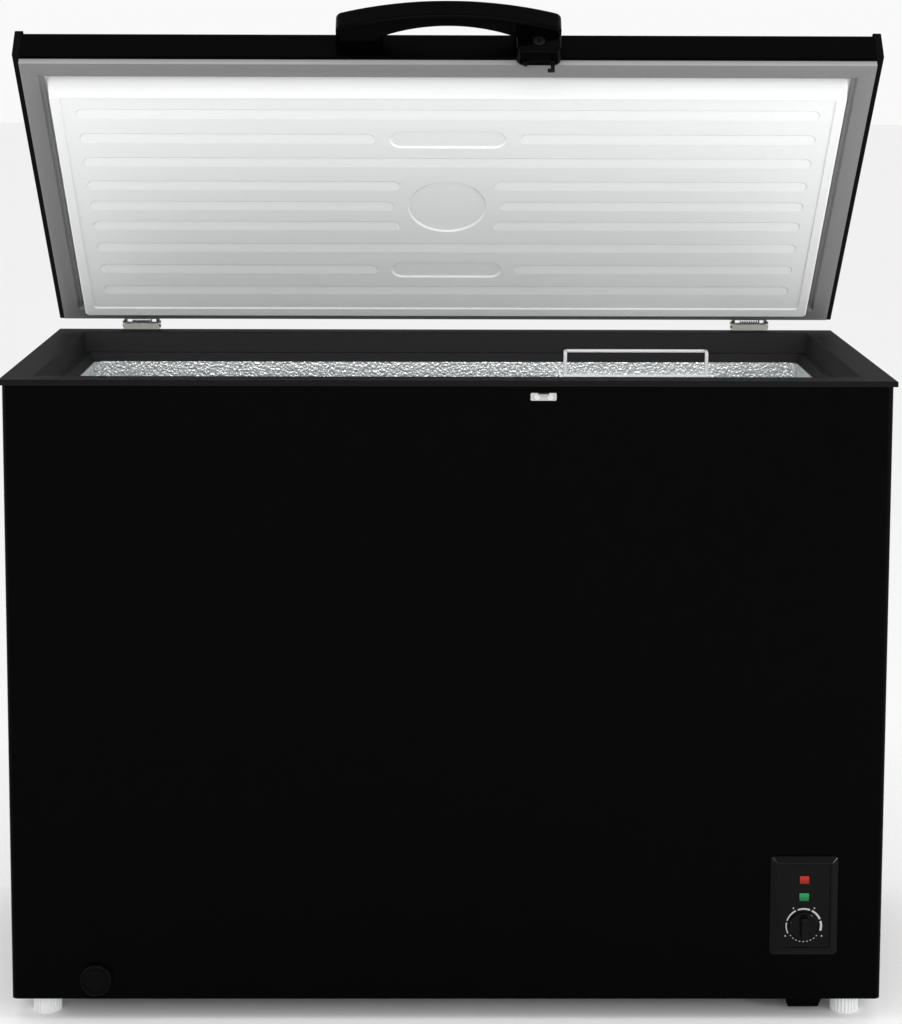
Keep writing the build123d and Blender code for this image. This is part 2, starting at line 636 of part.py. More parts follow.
# Foam between the skins and the liner, cast round the tubes and up inside the collar
FOAM_TOP = COLLAR_LOW - SHEET
with BuildPart() as foam_insulation:
    with BuildSketch(Plane.XY.offset(FOAM_BASE)):
        inside_plan()
    extrude(amount=FOAM_TOP - FOAM_BASE)
    with BuildSketch(Plane.XY.offset(FOAM_TOP)):
        inside_plan()
        inset = COLLAR_TOP - COLLAR_WALL - CLEARANCE
        Rectangle(RIM_WIDTH - 2 * inset, RIM_DEPTH - 2 * inset, mode=Mode.SUBTRACT)
    extrude(amount=SKIN_TOP - FOAM_TOP)
    add(liner_space.part, mode=Mode.SUBTRACT)
    with BuildSketch(Plane.XY.offset(FOAM_BASE)):
        with Locations((BAY_X - SHEET + RIM_WIDTH / 2, 0)):
            Rectangle(RIM_WIDTH, RIM_DEPTH)
    extrude(amount=BAY_ROOF + SHEET - FOAM_BASE, mode=Mode.SUBTRACT)
    with BuildSketch(Plane.XY.offset(FOAM_BASE)):
        with Locations(*[spot for spot in FEET if spot[0] < 0]):
            Circle(SOCKET_DIAMETER / 2 + CLEARANCE)
    extrude(amount=SOCKET_HEIGHT + CLEARANCE, mode=Mode.SUBTRACT)
    add(channels, mode=Mode.SUBTRACT)
save(foam_insulation, "foam_insulation")

# Collar: the plastic frame round the opening, notched for the hinges
ledge_start = COLLAR_TOP + COLLAR_DRAFT
ledge_end = ledge_start + LEDGE_WIDTH
collar_outline = [
    (0, 0),
    (COLLAR_TOP, 0),
    (ledge_start, -LEDGE_DROP),
    (ledge_end, -LEDGE_DROP),
    (ledge_end + LEDGE_DRAFT, -COLLAR_DEPTH),
    (ledge_end + LEDGE_DRAFT - COLLAR_WALL, -COLLAR_DEPTH),
    (ledge_end - COLLAR_WALL, -LEDGE_DROP - COLLAR_WALL),
    (ledge_start - COLLAR_WALL, -LEDGE_DROP - COLLAR_WALL),
    (COLLAR_TOP - COLLAR_WALL, -COLLAR_WALL),
    (LIP, -COLLAR_WALL),
    (LIP, -LIP_DROP),
    (0, -LIP_DROP),
]
with BuildPart() as collar:
    mitred_frame(
        Plane.XY.offset(RIM_HEIGHT), RIM_WIDTH, RIM_FRONT, RIM_REAR, collar_outline,
        collar_outline[:2] + collar_outline[3:4], COLLAR_EDGE,
    )
    with BuildSketch(Plane.XY.offset(RIM_HEIGHT)):
        with Locations((0, RIM_REAR)), GridLocations(2 * HINGE_X, 0, 2, 1):
            Rectangle(HINGE_WIDTH + 2 * CLEARANCE, 2 * (RIM_REAR - PANEL_REAR))
    extrude(amount=-LIP_DROP, mode=Mode.SUBTRACT)
save(collar, "collar")

# Compressor tray under the bay, with a pressed stiffening dimple near the front
GROMMET_SPOTS = [
    (COMPRESSOR_X + right * GROMMET_PITCH_X / 2, COMPRESSOR_Y + back * GROMMET_PITCH_Y / 2)
    for right in (-1, 1)
    for back in (-1, 1)
]
DIMPLE_Y = SKIN_FRONT + RETURN + SHEET + DIMPLE_LENGTH / 2
with BuildPart() as compressor_tray:
    with BuildSketch(Plane.XY.offset(FLOOR_LEVEL)):
        inside_plan()
        with Locations((BAY_X - RIM_WIDTH / 2, 0)):
            Rectangle(RIM_WIDTH, RIM_DEPTH, mode=Mode.SUBTRACT)
    extrude(amount=TRAY_PLATE)
    with BuildSketch(Plane.XY.offset(TRAY_TOP)):
        with Locations((DIMPLE_X, DIMPLE_Y)):
            Rectangle(DIMPLE_WIDTH, DIMPLE_LENGTH)
    with BuildSketch(Plane.XY.offset(TRAY_TOP - DIMPLE_DROP)):
        with Locations((DIMPLE_X, DIMPLE_Y)):
            Rectangle(DIMPLE_WIDTH - 2 * DIMPLE_LEAN, DIMPLE_LENGTH - 2 * DIMPLE_LEAN)
    loft()
    with BuildSketch(Plane.XY.offset(TRAY_TOP)):
        with Locations((DIMPLE_X, DIMPLE_Y)):
            Rectangle(DIMPLE_WIDTH - 2 * TRAY_PLATE, DIMPLE_LENGTH - 2 * TRAY_PLATE)
    with BuildSketch(Plane.XY.offset(TRAY_TOP - DIMPLE_DROP + TRAY_PLATE)):
        with Locations((DIMPLE_X, DIMPLE_Y)):
            floor_shrink = 2 * (TRAY_PLATE + DIMPLE_LEAN)
            Rectangle(DIMPLE_WIDTH - floor_shrink, DIMPLE_LENGTH - floor_shrink)
    loft(mode=Mode.SUBTRACT)
    with BuildSketch(Plane.XY.offset(FLOOR_LEVEL)):
        with Locations(*[spot for spot in FEET if spot[0] > 0]):
            Circle(FOOT_STUD / 2 + CLEARANCE)
        with Locations(*GROMMET_SPOTS):
            Circle(GROMMET_BOLT / 2)
    extrude(amount=TRAY_PLATE, mode=Mode.SUBTRACT)
save(compressor_tray, "compressor_tray")

# Compressor: welded shell on a foot plate, pump inside, rubber grommets and bolts under it
FOOT_PLATE_LEVEL = TRAY_TOP + GROMMET_HEIGHT
SHELL_LEVEL = FOOT_PLATE_LEVEL + RAIL_PLATE
with BuildPart() as compressor_shell:
    with BuildSketch(Plane.XY.offset(FOOT_PLATE_LEVEL)):
        with Locations((COMPRESSOR_X, COMPRESSOR_Y)):
            RectangleRounded(RAIL_LENGTH, RAIL_WIDTH, GROMMET_DIAMETER / 2)
        with Locations(*GROMMET_SPOTS):
            Circle(GROMMET_BOLT / 2 + CLEARANCE, mode=Mode.SUBTRACT)
    extrude(amount=RAIL_PLATE)
    with BuildSketch(Plane.XY.offset(SHELL_LEVEL)):
        with Locations((COMPRESSOR_X, COMPRESSOR_Y)):
            Circle(COMPRESSOR_DIAMETER / 2)
    extrude(amount=COMPRESSOR_HEIGHT)
    fillet(faces().sort_by(Axis.Z)[-1].edges(), COMPRESSOR_DOME)
    with BuildSketch(Plane.XY.offset(SHELL_LEVEL + COMPRESSOR_HEIGHT / 2)):
        with Locations((COMPRESSOR_X, COMPRESSOR_Y)):
            Circle(COMPRESSOR_DIAMETER / 2 + COMPRESSOR_WALL)
            Circle(COMPRESSOR_DIAMETER / 2 - COMPRESSOR_WALL, mode=Mode.SUBTRACT)
    extrude(amount=-2 * COMPRESSOR_WALL)
with BuildPart() as shell_space:
    with BuildSketch(Plane.XY.offset(SHELL_LEVEL + COMPRESSOR_WALL)):
        with Locations((COMPRESSOR_X, COMPRESSOR_Y)):
            Circle(COMPRESSOR_DIAMETER / 2 - COMPRESSOR_WALL)
    extrude(amount=COMPRESSOR_HEIGHT - 2 * COMPRESSOR_WALL)
    fillet(faces().sort_by(Axis.Z)[-1].edges(), COMPRESSOR_DOME - COMPRESSOR_WALL)
with BuildPart() as hollow_shell:
    add(compressor_shell.part)
    add(shell_space.part, mode=Mode.SUBTRACT)
save(hollow_shell, "compressor_shell")
with BuildPart() as compressor_pump:
    with BuildSketch(Plane.XY.offset(SHELL_LEVEL + COMPRESSOR_WALL)):
        with Locations((COMPRESSOR_X, COMPRESSOR_Y)):
            Circle(PUMP_DIAMETER / 3)
    extrude(amount=PUMP_SEAT)
    with BuildSketch(Plane.XY.offset(SHELL_LEVEL + COMPRESSOR_WALL + PUMP_SEAT)):
        with Locations((COMPRESSOR_X, COMPRESSOR_Y)):
            Circle(PUMP_DIAMETER / 2)
    extrude(amount=PUMP_HEIGHT)
save(compressor_pump, "compressor_pump")
with BuildPart() as compressor_grommets:
    with BuildSketch(Plane.XY.offset(TRAY_TOP)):
        with Locations(*GROMMET_SPOTS):
            Circle(GROMMET_DIAMETER / 2)
            Circle(GROMMET_BOLT / 2, mode=Mode.SUBTRACT)
    extrude(amount=GROMMET_HEIGHT)
save(compressor_grommets, "compressor_grommets")
with BuildPart() as compressor_bolts:
    screws(
        Plane.XY.offset(SHELL_LEVEL), GROMMET_SPOTS, GROMMET_BOLT, RAIL_PLATE + GROMMET_HEIGHT + TRAY_PLATE
    )
save(compressor_bolts, "compressor_bolts")

# Start relay box on the front of the compressor
RELAY_Y = COMPRESSOR_Y - COMPRESSOR_DIAMETER / 2 - COMPRESSOR_WALL - RELAY_DEPTH / 2
RELAY_Z = SHELL_LEVEL + COMPRESSOR_HEIGHT / 2 - COMPRESSOR_WALL
with BuildPart() as start_relay_box:
    with BuildSketch(Plane.XY.offset(RELAY_Z - RELAY_HEIGHT / 2)):
        with Locations((COMPRESSOR_X, RELAY_Y)):
            RectangleRounded(RELAY_WIDTH, RELAY_DEPTH, COMPRESSOR_WALL)
    extrude(amount=RELAY_HEIGHT)
save(start_relay_box, "start_relay_box")

# Filter drier between the condenser's end and the capillary tube
with BuildPart() as filter_drier:
    with BuildSketch(Plane.XY.offset(DRIER_TOP)):
        with Locations((RETURN_X, DRIER_Y)):
            Circle(DRIER_DIAMETER / 2)
    extrude(amount=-DRIER_LENGTH)
    chamfer(edges().filter_by(GeomType.CIRCLE), 0.35 * DRIER_DIAMETER)
save(filter_drier, "filter_drier")

# Rear grille over the bay's opening
SLAT_SPAN = GRILLE_HEIGHT - 2 * GRILLE_BORDER - 2 * SLAT_WIDTH
with BuildPart() as rear_grille:
    with BuildSketch(Plane.XZ.offset(-PANEL_REAR)):
        with Locations((GRILLE_X, GRILLE_Z)):
            RectangleRounded(GRILLE_WIDTH, GRILLE_HEIGHT, PANEL_CORNER)
            with GridLocations(0, SLAT_SPAN / (SLAT_COUNT - 1), 1, SLAT_COUNT):
                SlotOverall(GRILLE_WIDTH - 2.6 * GRILLE_BORDER, SLAT_WIDTH, mode=Mode.SUBTRACT)
        with Locations(*GRILLE_SCREW_SPOTS):
            Circle(GRILLE_SCREW / 2, mode=Mode.SUBTRACT)
    extrude(amount=-GRILLE_PLATE)
save(rear_grille, "rear_grille")
with BuildPart() as grille_screws:
    rear_face = Plane(origin=(0, PANEL_REAR + GRILLE_PLATE, 0), x_dir=(1, 0, 0), z_dir=(0, 1, 0))
    screws(rear_face, [(x, -z) for x, z in GRILLE_SCREW_SPOTS], GRILLE_SCREW, GRILLE_PLATE + SHEET)
save(grille_screws, "grille_screws")

# Cord inlet: a rubber grommet in the rear panel
with BuildPart() as cord_inlet:
    with BuildSketch(Plane.XZ.offset(-INNER_REAR)):
        with Locations((INLET_X, INLET_Z)):
            Circle(INLET_BODY / 2)
    extrude(amount=-INLET_LENGTH)
    with BuildSketch(Plane.XZ.offset(-PANEL_REAR)):
        with Locations((INLET_X, INLET_Z)):
            Circle(INLET_FLANGE / 2)
    extrude(amount=-2 * SHEET)
    with BuildSketch(Plane.XZ.offset(-INNER_REAR)):
        with Locations((INLET_X, INLET_Z)):
            Circle(INLET_BORE / 2)
    extrude(amount=-INLET_LENGTH, mode=Mode.SUBTRACT)
save(cord_inlet, "cord_inlet")

# Levelling feet: ribbed pads on threaded studs
for name, (x, y) in zip(FOOT_NAMES, FEET):
    with BuildPart() as foot:
        with BuildSketch(Plane.XY):
            with Locations((x, y)):
                Circle(FOOT_DIAMETER / 2 - FOOT_RIB)
                with PolarLocations(FOOT_DIAMETER / 2 - FOOT_RIB, FOOT_RIBS):
                    Circle(FOOT_RIB)
        extrude(amount=FOOT_PAD)
        with BuildSketch(Plane.XY.offset(FOOT_PAD)):
            with Locations((x, y)):
                Circle(FOOT_NECK / 2)
        extrude(amount=FLOOR_LEVEL - FOOT_PAD)
        with BuildSketch(Plane.XY.offset(FLOOR_LEVEL)):
            with Locations((x, y)):
                Circle(FOOT_STUD / 2)
        extrude(amount=TRAY_PLATE + SOCKET_HEIGHT - SHEET)
    save(foot, name)

# Drain cap on the front, and the rubber plug in the compartment's floor
CAP_FACE = DRAIN_MOUTH - CLEARANCE
with BuildPart() as drain_cap:
    with BuildSketch(Plane.XZ.offset(-CAP_FACE)):
        with Locations((DRAIN_X, DRAIN_Z)):
            Circle(DRAIN_CAP / 2)
    extrude(amount=DRAIN_CAP_THICK)
    fillet(faces().sort_by(Axis.Y)[0].edges(), DRAIN_WALL)
    with BuildSketch(Plane.XZ.offset(-CAP_FACE + DRAIN_CAP_THICK)):
        with Locations((DRAIN_X, DRAIN_Z)):
            Circle(DRAIN_CAP / 2 - 2 * DRAIN_WALL)
            Circle(DRAIN_CAP / 2 - 3 * DRAIN_WALL, mode=Mode.SUBTRACT)
    extrude(amount=-DRAIN_WALL / 2, mode=Mode.SUBTRACT)
    with BuildSketch(Plane.XZ.offset(-CAP_FACE)):
        with Locations((DRAIN_X, DRAIN_Z)):
            Circle(DRAIN_CAP / 2)
            Circle(DRAIN_CAP / 2 - DRAIN_WALL, mode=Mode.SUBTRACT)
    extrude(amount=CAP_FACE + CLEARANCE - SKIN_FRONT)
    with BuildSketch(Plane.XZ.offset(-CAP_FACE)):
        with Locations((DRAIN_X, DRAIN_Z)):
            Circle(DRAIN_BORE / 2 - CLEARANCE)
    extrude(amount=-DRAIN_STEM)
save(drain_cap, "drain_cap")
with BuildPart() as drain_plug:
    with BuildSketch(Plane.XY.offset(LINER_FLOOR + CLEARANCE)):
        with Locations((DRAIN_X, DRAIN_Y)):
            Circle(PLUG_HEAD / 2)
    extrude(amount=PLUG_HEAD_THICK)
    with BuildSketch(Plane.XY.offset(LINER_FLOOR + CLEARANCE)):
        with Locations((DRAIN_X, DRAIN_Y)):
            Circle(DRAIN_BORE / 2 - CLEARANCE)
    extrude(amount=-DRAIN_STEM / 2)
    with BuildSketch(Plane.XZ.offset(-DRAIN_Y)) as tab:
        with Locations((DRAIN_X, LINER_FLOOR + CLEARANCE + PLUG_HEAD_THICK)):
            RectangleRounded(PLUG_TAB, 2 * PLUG_TAB, PLUG_TAB / 3)
            with Locations((0, -PLUG_TAB / 2)):
                Rectangle(2 * PLUG_TAB, PLUG_TAB, mode=Mode.SUBTRACT)
    extrude(amount=DRAIN_WALL, both=True)
save(drain_plug, "drain_plug")

# Control panel: bevelled bezel with a sunk face and a spigot through the front skin
PANEL_FACE = SKIN_FRONT - PANEL_PROUD + PANEL_RECESS
SPIGOT_WIDTH = PANEL_BODY_WIDTH - 2 * PANEL_BORDER - 2 * CLEARANCE
SPIGOT_HEIGHT = PANEL_BODY_HEIGHT - 2 * PANEL_BORDER - 2 * CLEARANCE
LAMP_SPOTS = {
    "red_lamp": (PANEL_X, PANEL_Z + RED_LAMP_RISE),
    "green_lamp": (PANEL_X, PANEL_Z + GREEN_LAMP_RISE),
}
with BuildPart() as control_panel:
    with BuildSketch(Plane.XZ.offset(-SKIN_FRONT)):
        with Locations((PANEL_X, PANEL_Z)):
            RectangleRounded(PANEL_BODY_WIDTH, PANEL_BODY_HEIGHT, PANEL_CORNER)
    extrude(amount=PANEL_PROUD)
    chamfer(faces().sort_by(Axis.Y)[0].edges(), PANEL_BEVEL)
    with BuildSketch(Plane.XZ.offset(PANEL_PROUD - SKIN_FRONT)):
        with Locations((PANEL_X, PANEL_Z)):
            RectangleRounded(
                PANEL_BODY_WIDTH - 2 * PANEL_BORDER, PANEL_BODY_HEIGHT - 2 * PANEL_BORDER, PANEL_CORNER / 2
            )
    extrude(amount=-PANEL_RECESS, mode=Mode.SUBTRACT)
    with BuildSketch(Plane.XZ.offset(-SKIN_FRONT)):
        with Locations((PANEL_X, PANEL_Z)):
            Rectangle(SPIGOT_WIDTH, SPIGOT_HEIGHT)
            Rectangle(SPIGOT_WIDTH - 2 * PANEL_RECESS, SPIGOT_HEIGHT - 2 * PANEL_RECESS, mode=Mode.SUBTRACT)
    extrude(amount=-PANEL_SPIGOT)
    with BuildSketch(Plane.XZ.offset(-SKIN_FRONT)):
        with Locations(*LAMP_SPOTS.values()):
            Rectangle(LAMP_WIDTH, LAMP_HEIGHT)
        with Locations((PANEL_X, KNOB_Z)):
            Circle(KNOB_SHAFT / 2 + CLEARANCE)
    extrude(amount=PANEL_PROUD, mode=Mode.SUBTRACT)
save(control_panel, "control_panel")

# Indicator lamps, held behind the panel by their flanges
for name, spot in LAMP_SPOTS.items():
    with BuildPart() as lamp:
        with BuildSketch(Plane.XZ.offset(-SKIN_FRONT)):
            with Locations(spot):
                Rectangle(LAMP_WIDTH, LAMP_HEIGHT)
        extrude(amount=SKIN_FRONT - PANEL_FACE + LAMP_PROUD)
        fillet(faces().sort_by(Axis.Y)[0].edges(), LAMP_PROUD / 2)
        with BuildSketch(Plane.XZ.offset(-SKIN_FRONT)):
            with Locations(spot):
                Rectangle(LAMP_WIDTH + 2 * LAMP_PROUD, LAMP_HEIGHT + 2 * LAMP_PROUD)
        extrude(amount=-PANEL_SPIGOT / 2)
    save(lamp, name)

# Thermostat behind the panel, and the knob on its shaft
SHAFT_DEPTH = THERMOSTAT_DEPTH / 2
with BuildPart() as thermostat_body:
    with BuildSketch(Plane.XZ.offset(-SKIN_FRONT)):
        with Locations((PANEL_X, KNOB_Z)):
            RectangleRounded(THERMOSTAT_SIZE, THERMOSTAT_SIZE * 0.9, PANEL_RECESS)
    extrude(amount=-THERMOSTAT_DEPTH)
    with BuildSketch(Plane.XZ.offset(-SKIN_FRONT)):
        with Locations((PANEL_X, KNOB_Z)):
            Circle(KNOB_SHAFT / 2 + RUNNING)
    extrude(amount=-SHAFT_DEPTH - CLEARANCE, mode=Mode.SUBTRACT)
save(thermostat_body, "thermostat_body")
KNOB_BACK = PANEL_FACE - CLEARANCE
with BuildPart() as thermostat_knob:
    with BuildSketch(Plane.XZ.offset(-KNOB_BACK)):
        with Locations((PANEL_X, KNOB_Z)):
            Circle(KNOB_DIAMETER / 2)
    extrude(amount=KNOB_SKIRT)
    chamfer(faces().sort_by(Axis.Y)[0].edges(), KNOB_SKIRT / 3)
    with BuildSketch(Plane.XZ.offset(KNOB_SKIRT - KNOB_BACK)):
        with Locations((PANEL_X, KNOB_Z)):
            Circle(KNOB_DIAMETER / 2 - KNOB_SKIRT)
            Rectangle(KNOB_GRIP, KNOB_DIAMETER, mode=Mode.INTERSECT)
    extrude(amount=KNOB_HEIGHT - KNOB_SKIRT)
    fillet(faces().sort_by(Axis.Y)[0].edges(), KNOB_GRIP / 6)
    with BuildSketch(Plane.XZ.offset(-KNOB_BACK)):
        with Locations((PANEL_X, KNOB_Z)):
            Circle(KNOB_SHAFT / 2)
    extrude(amount=KNOB_BACK - SKIN_FRONT - SHAFT_DEPTH)
save(thermostat_knob, "thermostat_knob")

# Striker plate with its catch, and its screws
STRIKER_SPOTS = [(STRIKER_X - STRIKER_PITCH / 2, STRIKER_Z), (STRIKER_X + STRIKER_PITCH / 2, STRIKER_Z)]
with BuildPart() as striker_plate:
    with BuildSketch(Plane.XZ.offset(-SKIN_FRONT)):
        with Locations((STRIKER_X, STRIKER_Z)):
            RectangleRounded(STRIKER_WIDTH, STRIKER_HEIGHT, STRIKER_PLATE)
        with Locations(*STRIKER_SPOTS):
            Circle(SMALL_SCREW / 2, mode=Mode.SUBTRACT)
    extrude(amount=STRIKER_PLATE)
    with BuildSketch(Plane.XZ.offset(-SKIN_FRONT)):
        with Locations((STRIKER_X, STRIKER_Z + (STRIKER_HEIGHT - STRIKER_PLATE) / 2)):
            Rectangle(STRIKER_TAB, STRIKER_PLATE)
    extrude(amount=STRIKER_REACH)
save(striker_plate, "striker_plate")
with BuildPart() as striker_screws:
    screws(Plane.XZ.offset(STRIKER_PLATE - SKIN_FRONT), STRIKER_SPOTS, SMALL_SCREW, STRIKER_PLATE + SHEET)
save(striker_screws, "striker_screws")

# Plain badge plate
with BuildPart() as badge_plate:
    with BuildSketch(Plane.XZ.offset(-SKIN_FRONT)):
        with Locations((BADGE_X, RIM_HEIGHT - BADGE_DROP)):
            RectangleRounded(BADGE_WIDTH, BADGE_HEIGHT, BADGE_PLATE)
    extrude(amount=BADGE_PLATE)
    chamfer(faces().sort_by(Axis.Y)[0].edges(), BADGE_PLATE / 3)
save(badge_plate, "badge_plate")

# Wire basket hanging on the collar's ledge
RAIL_Z = RIM_HEIGHT - BASKET_DROP
BASKET_LOW = RAIL_Z - BASKET_HEIGHT
BAR_Y = RIM_DEPTH / 2 - ledge_start - LEDGE_WIDTH / 2
BAR_Z = LEDGE_LEVEL + CLEARANCE + BASKET_WIRE / 2
LEG_Y = LINER_Y - BASKET_PLAY - BASKET_WIRE / 2
RAIL_X = BASKET_WIDTH / 2 + RAIL_OVERHANG
RAIL_Y = LEG_Y - BASKET_WIRE + WELD
LOW_RAIL_Z = BASKET_LOW + 4 * MESH_WIRE
CROSSING = (BASKET_WIRE + MESH_WIRE) / 2 - WELD
with BuildPart() as basket:
    for end in (-1, 1):
        left = BASKET_X - BASKET_WIDTH / 2
        right = BASKET_X + BASKET_WIDTH / 2
        loop = [(left, end * LEG_Y, LOW_RAIL_Z), (left, end * LEG_Y, BAR_Z), (left, end * BAR_Y, BAR_Z)]
        loop += [(right, y, z) for x, y, z in reversed(loop)]
        rod(loop, BASKET_WIRE, BASKET_WIRE)
    for height in (RAIL_Z, (RAIL_Z + LOW_RAIL_Z) / 2, LOW_RAIL_Z):
        corners = [(1, -1), (1, 1), (-1, 1), (-1, -1)]
        ring = [(BASKET_X + x * RAIL_X, y * RAIL_Y, height) for x, y in corners]
        rod(ring, BASKET_WIRE, BASKET_WIRE, closed=True)
    side_count = int(2 * RAIL_Y / MESH_SPACING)
    for index in range(side_count):
        y = (index - (side_count - 1) / 2) * MESH_SPACING
        x = RAIL_X - CROSSING
        wire = [(BASKET_X - x, y, RAIL_Z), (BASKET_X - x, y, BASKET_LOW)]
        rod(wire + [(BASKET_X + x, y, BASKET_LOW), (BASKET_X + x, y, RAIL_Z)], MESH_WIRE, 2 * MESH_WIRE)
    end_count = int(2 * RAIL_X / MESH_SPACING)
    for index in range(end_count):
        x = BASKET_X + (index - (end_count - 1) / 2) * MESH_SPACING
        y = RAIL_Y - CROSSING
        floor = BASKET_LOW + MESH_WIRE - WELD
        wire = [(x, -y, RAIL_Z), (x, -y, floor), (x, y, floor), (x, y, RAIL_Z)]
        rod(wire, MESH_WIRE, 2 * MESH_WIRE)
save(basket, "basket")

# Hinges: a bracket on the rear panel, a pin, and a leaf on the lid
BRACKET_LOW = HINGE_Z - HINGE_DROP
BRACKET_TOP = RIM_HEIGHT + HINGE_RISE
LEAF_X = HINGE_WIDTH / 2 - HINGE_PLATE - LEAF_GAP
LEAF_SPOTS = [
    (side * HINGE_X + across, LID_UNDER + 0.65 * LEAF_HEIGHT)
    for side in (-1, 1)
    for across in (-HINGE_WIDTH / 4, HINGE_WIDTH / 4)
]
bracket_outline = [
    (PANEL_REAR, BRACKET_LOW),
    (PANEL_REAR, BRACKET_TOP),
    (HINGE_Y - HINGE_EYE, HINGE_Z),
    (HINGE_Y + HINGE_EYE, HINGE_Z),
    (HINGE_Y + HINGE_EYE, HINGE_Z - HINGE_TAPER),
    (PANEL_REAR + HINGE_FOOT, BRACKET_LOW),
]
leaf_outline = [
    (RIM_REAR, LID_UNDER),
    (RIM_REAR, LID_UNDER + LEAF_HEIGHT / 2),
    (HINGE_Y + HINGE_EYE, HINGE_Z),
    (HINGE_Y - HINGE_EYE, HINGE_Z),
]


def ears(planes, outline, bore):
    """A pair of hinge ears on these planes, rounded about the hinge axis and bored for the pin."""
    for plane in planes:
        with BuildSketch(plane) as ear:
            with BuildLine():
                Polyline(*outline, close=True)
            make_face()
            with Locations((HINGE_Y, HINGE_Z)):
                Circle(HINGE_EYE)
                Circle(bore, mode=Mode.SUBTRACT)
        extrude(ear.sketch, amount=HINGE_PLATE)


def wound(start, turned):
    """Middle of a spring's wire after this angle, and the way that the wire runs there."""
    rise = SPRING_PITCH / (2 * pi)
    across = SPRING_RADIUS * cos(turned)
    up = SPRING_RADIUS * sin(turned)
    return Vector(start + rise * turned, HINGE_Y - across, HINGE_Z + up), Vector(rise, up, across).normalized()


def spring_path(start):
    """Lower leg, coils as pairs of arcs of a quarter turn, and upper leg, in one line."""
    angle = 2 * pi * SPRING_TURNS + radians(OPEN_ANGLE)
    count = 4 * SPRING_TURNS + 1
    steps = [wound(start, angle * index / count) for index in range(count + 1)]
    with BuildLine() as path:
        spot, way = steps[0]
        Line(spot - way * SPRING_LEG, spot)
        for (near, leaving), (far, arriving) in zip(steps, steps[1:]):
            chord = far - near
            bend = 2 * (1 - leaving.dot(arriving))
            along = chord.dot(leaving + arriving)
            reach = (sqrt(along * along + bend * chord.dot(chord)) - along) / bend
            middle = (near + far + (leaving - arriving) * reach) / 2
            first = TangentArc(near, middle, tangent=leaving)
            TangentArc(middle, far, tangent=first % 1)
        spot, way = steps[-1]
        Line(spot, spot + way * SPRING_LEG)
    return path.wires()[0]


def least_gap(path, diameter):
    """The least gap between turns of one wire, measured on points along it."""
    count = int(path.length / (diameter / 5))
    points = [path @ (index / count) for index in range(count + 1)]
    apart = 15
    pairs = [(one, other) for one in range(count + 1) for other in range(one + apart, count + 1)]
    return min((points[one] - points[other]).length for one, other in pairs) - diameter


for side, name in ((-1, "left"), (1, "right")):
    middle = side * HINGE_X
    outer = HINGE_WIDTH / 2
    with BuildPart() as hinge_bracket:
        with BuildSketch(Plane.XZ.offset(-PANEL_REAR)):
            with Locations((middle, (BRACKET_LOW + BRACKET_TOP) / 2)):
                Rectangle(HINGE_WIDTH, BRACKET_TOP - BRACKET_LOW)
            with Locations(*[spot for spot in HINGE_SCREW_SPOTS if spot[0] * side > 0]):
                Circle(HINGE_SCREW / 2, mode=Mode.SUBTRACT)
        extrude(amount=-HINGE_PLATE)
        places = (middle - outer, middle + outer - HINGE_PLATE)
        ears([Plane.YZ.offset(x) for x in places], bracket_outline, HINGE_PIN / 2)
    save(hinge_bracket, f"hinge_bracket_{name}")
    with BuildPart() as hinge_pin:
        with BuildSketch(Plane(origin=(middle, HINGE_Y, HINGE_Z), z_dir=(1, 0, 0))):
            Circle(HINGE_PIN / 2)
        extrude(amount=outer, both=True)
        for way in (-1, 1):
            with BuildSketch(Plane(origin=(middle + way * outer, HINGE_Y, HINGE_Z), z_dir=(way, 0, 0))):
                Circle(0.75 * HINGE_PIN)
            extrude(amount=HINGE_PLATE)
    save(hinge_pin, f"hinge_pin_{name}")
    with BuildPart() as hinge_leaf:
        with BuildSketch(facing_front(RIM_REAR)):
            with Locations((middle, LID_UNDER + LEAF_HEIGHT / 2)):
                Rectangle(2 * LEAF_X, LEAF_HEIGHT)
            with Locations(*[spot for spot in LEAF_SPOTS if spot[0] * side > 0]):
                Circle(HINGE_SCREW / 2, mode=Mode.SUBTRACT)
        extrude(amount=-HINGE_PLATE)
        places = (middle - LEAF_X, middle + LEAF_X - HINGE_PLATE)
        ears([facing_side(x) for x in places], leaf_outline, HINGE_PIN / 2 + RUNNING)
    save(hinge_leaf, f"hinge_leaf_{name}")
    with BuildPart() as hinge_spring:
        coil = spring_path(middle - SPRING_PITCH * SPRING_TURNS / 2)
        tube(coil, SPRING_WIRE)
    save(hinge_spring, f"hinge_spring_{name}")
    print(f"hinge_spring_{name}: least gap between turns {least_gap(coil, SPRING_WIRE):.2f} mm")
with BuildPart() as hinge_screws:
    rear_face = Plane(origin=(0, PANEL_REAR + HINGE_PLATE, 0), x_dir=(1, 0, 0), z_dir=(0, 1, 0))
    screws(rear_face, [(x, -z) for x, z in HINGE_SCREW_SPOTS], HINGE_SCREW, HINGE_PLATE + SHEET)
save(hinge_screws, "hinge_screws")
with BuildPart() as leaf_screws:
    rear_face = opened(Plane(origin=(0, RIM_REAR + HINGE_PLATE, 0), x_dir=(1, 0, 0), z_dir=(0, 1, 0)))
    screws(rear_face, [(x, -z) for x, z in LEAF_SPOTS], HINGE_SCREW, HINGE_PLATE + SHEET)
save(leaf_screws, "leaf_screws")

# Lid skin: a folded steel sheet with turned lower edges, between the end trims
HANDLE_SPOTS = [
    (side * (HANDLE_LENGTH - HANDLE_FOOT) / 2 + across, LID_UNDER + (HANDLE_LOW + HANDLE_TOP) / 2)
    for side in (-1, 1)
    for across in (-HANDLE_FOOT / 4, HANDLE_FOOT / 4)
]


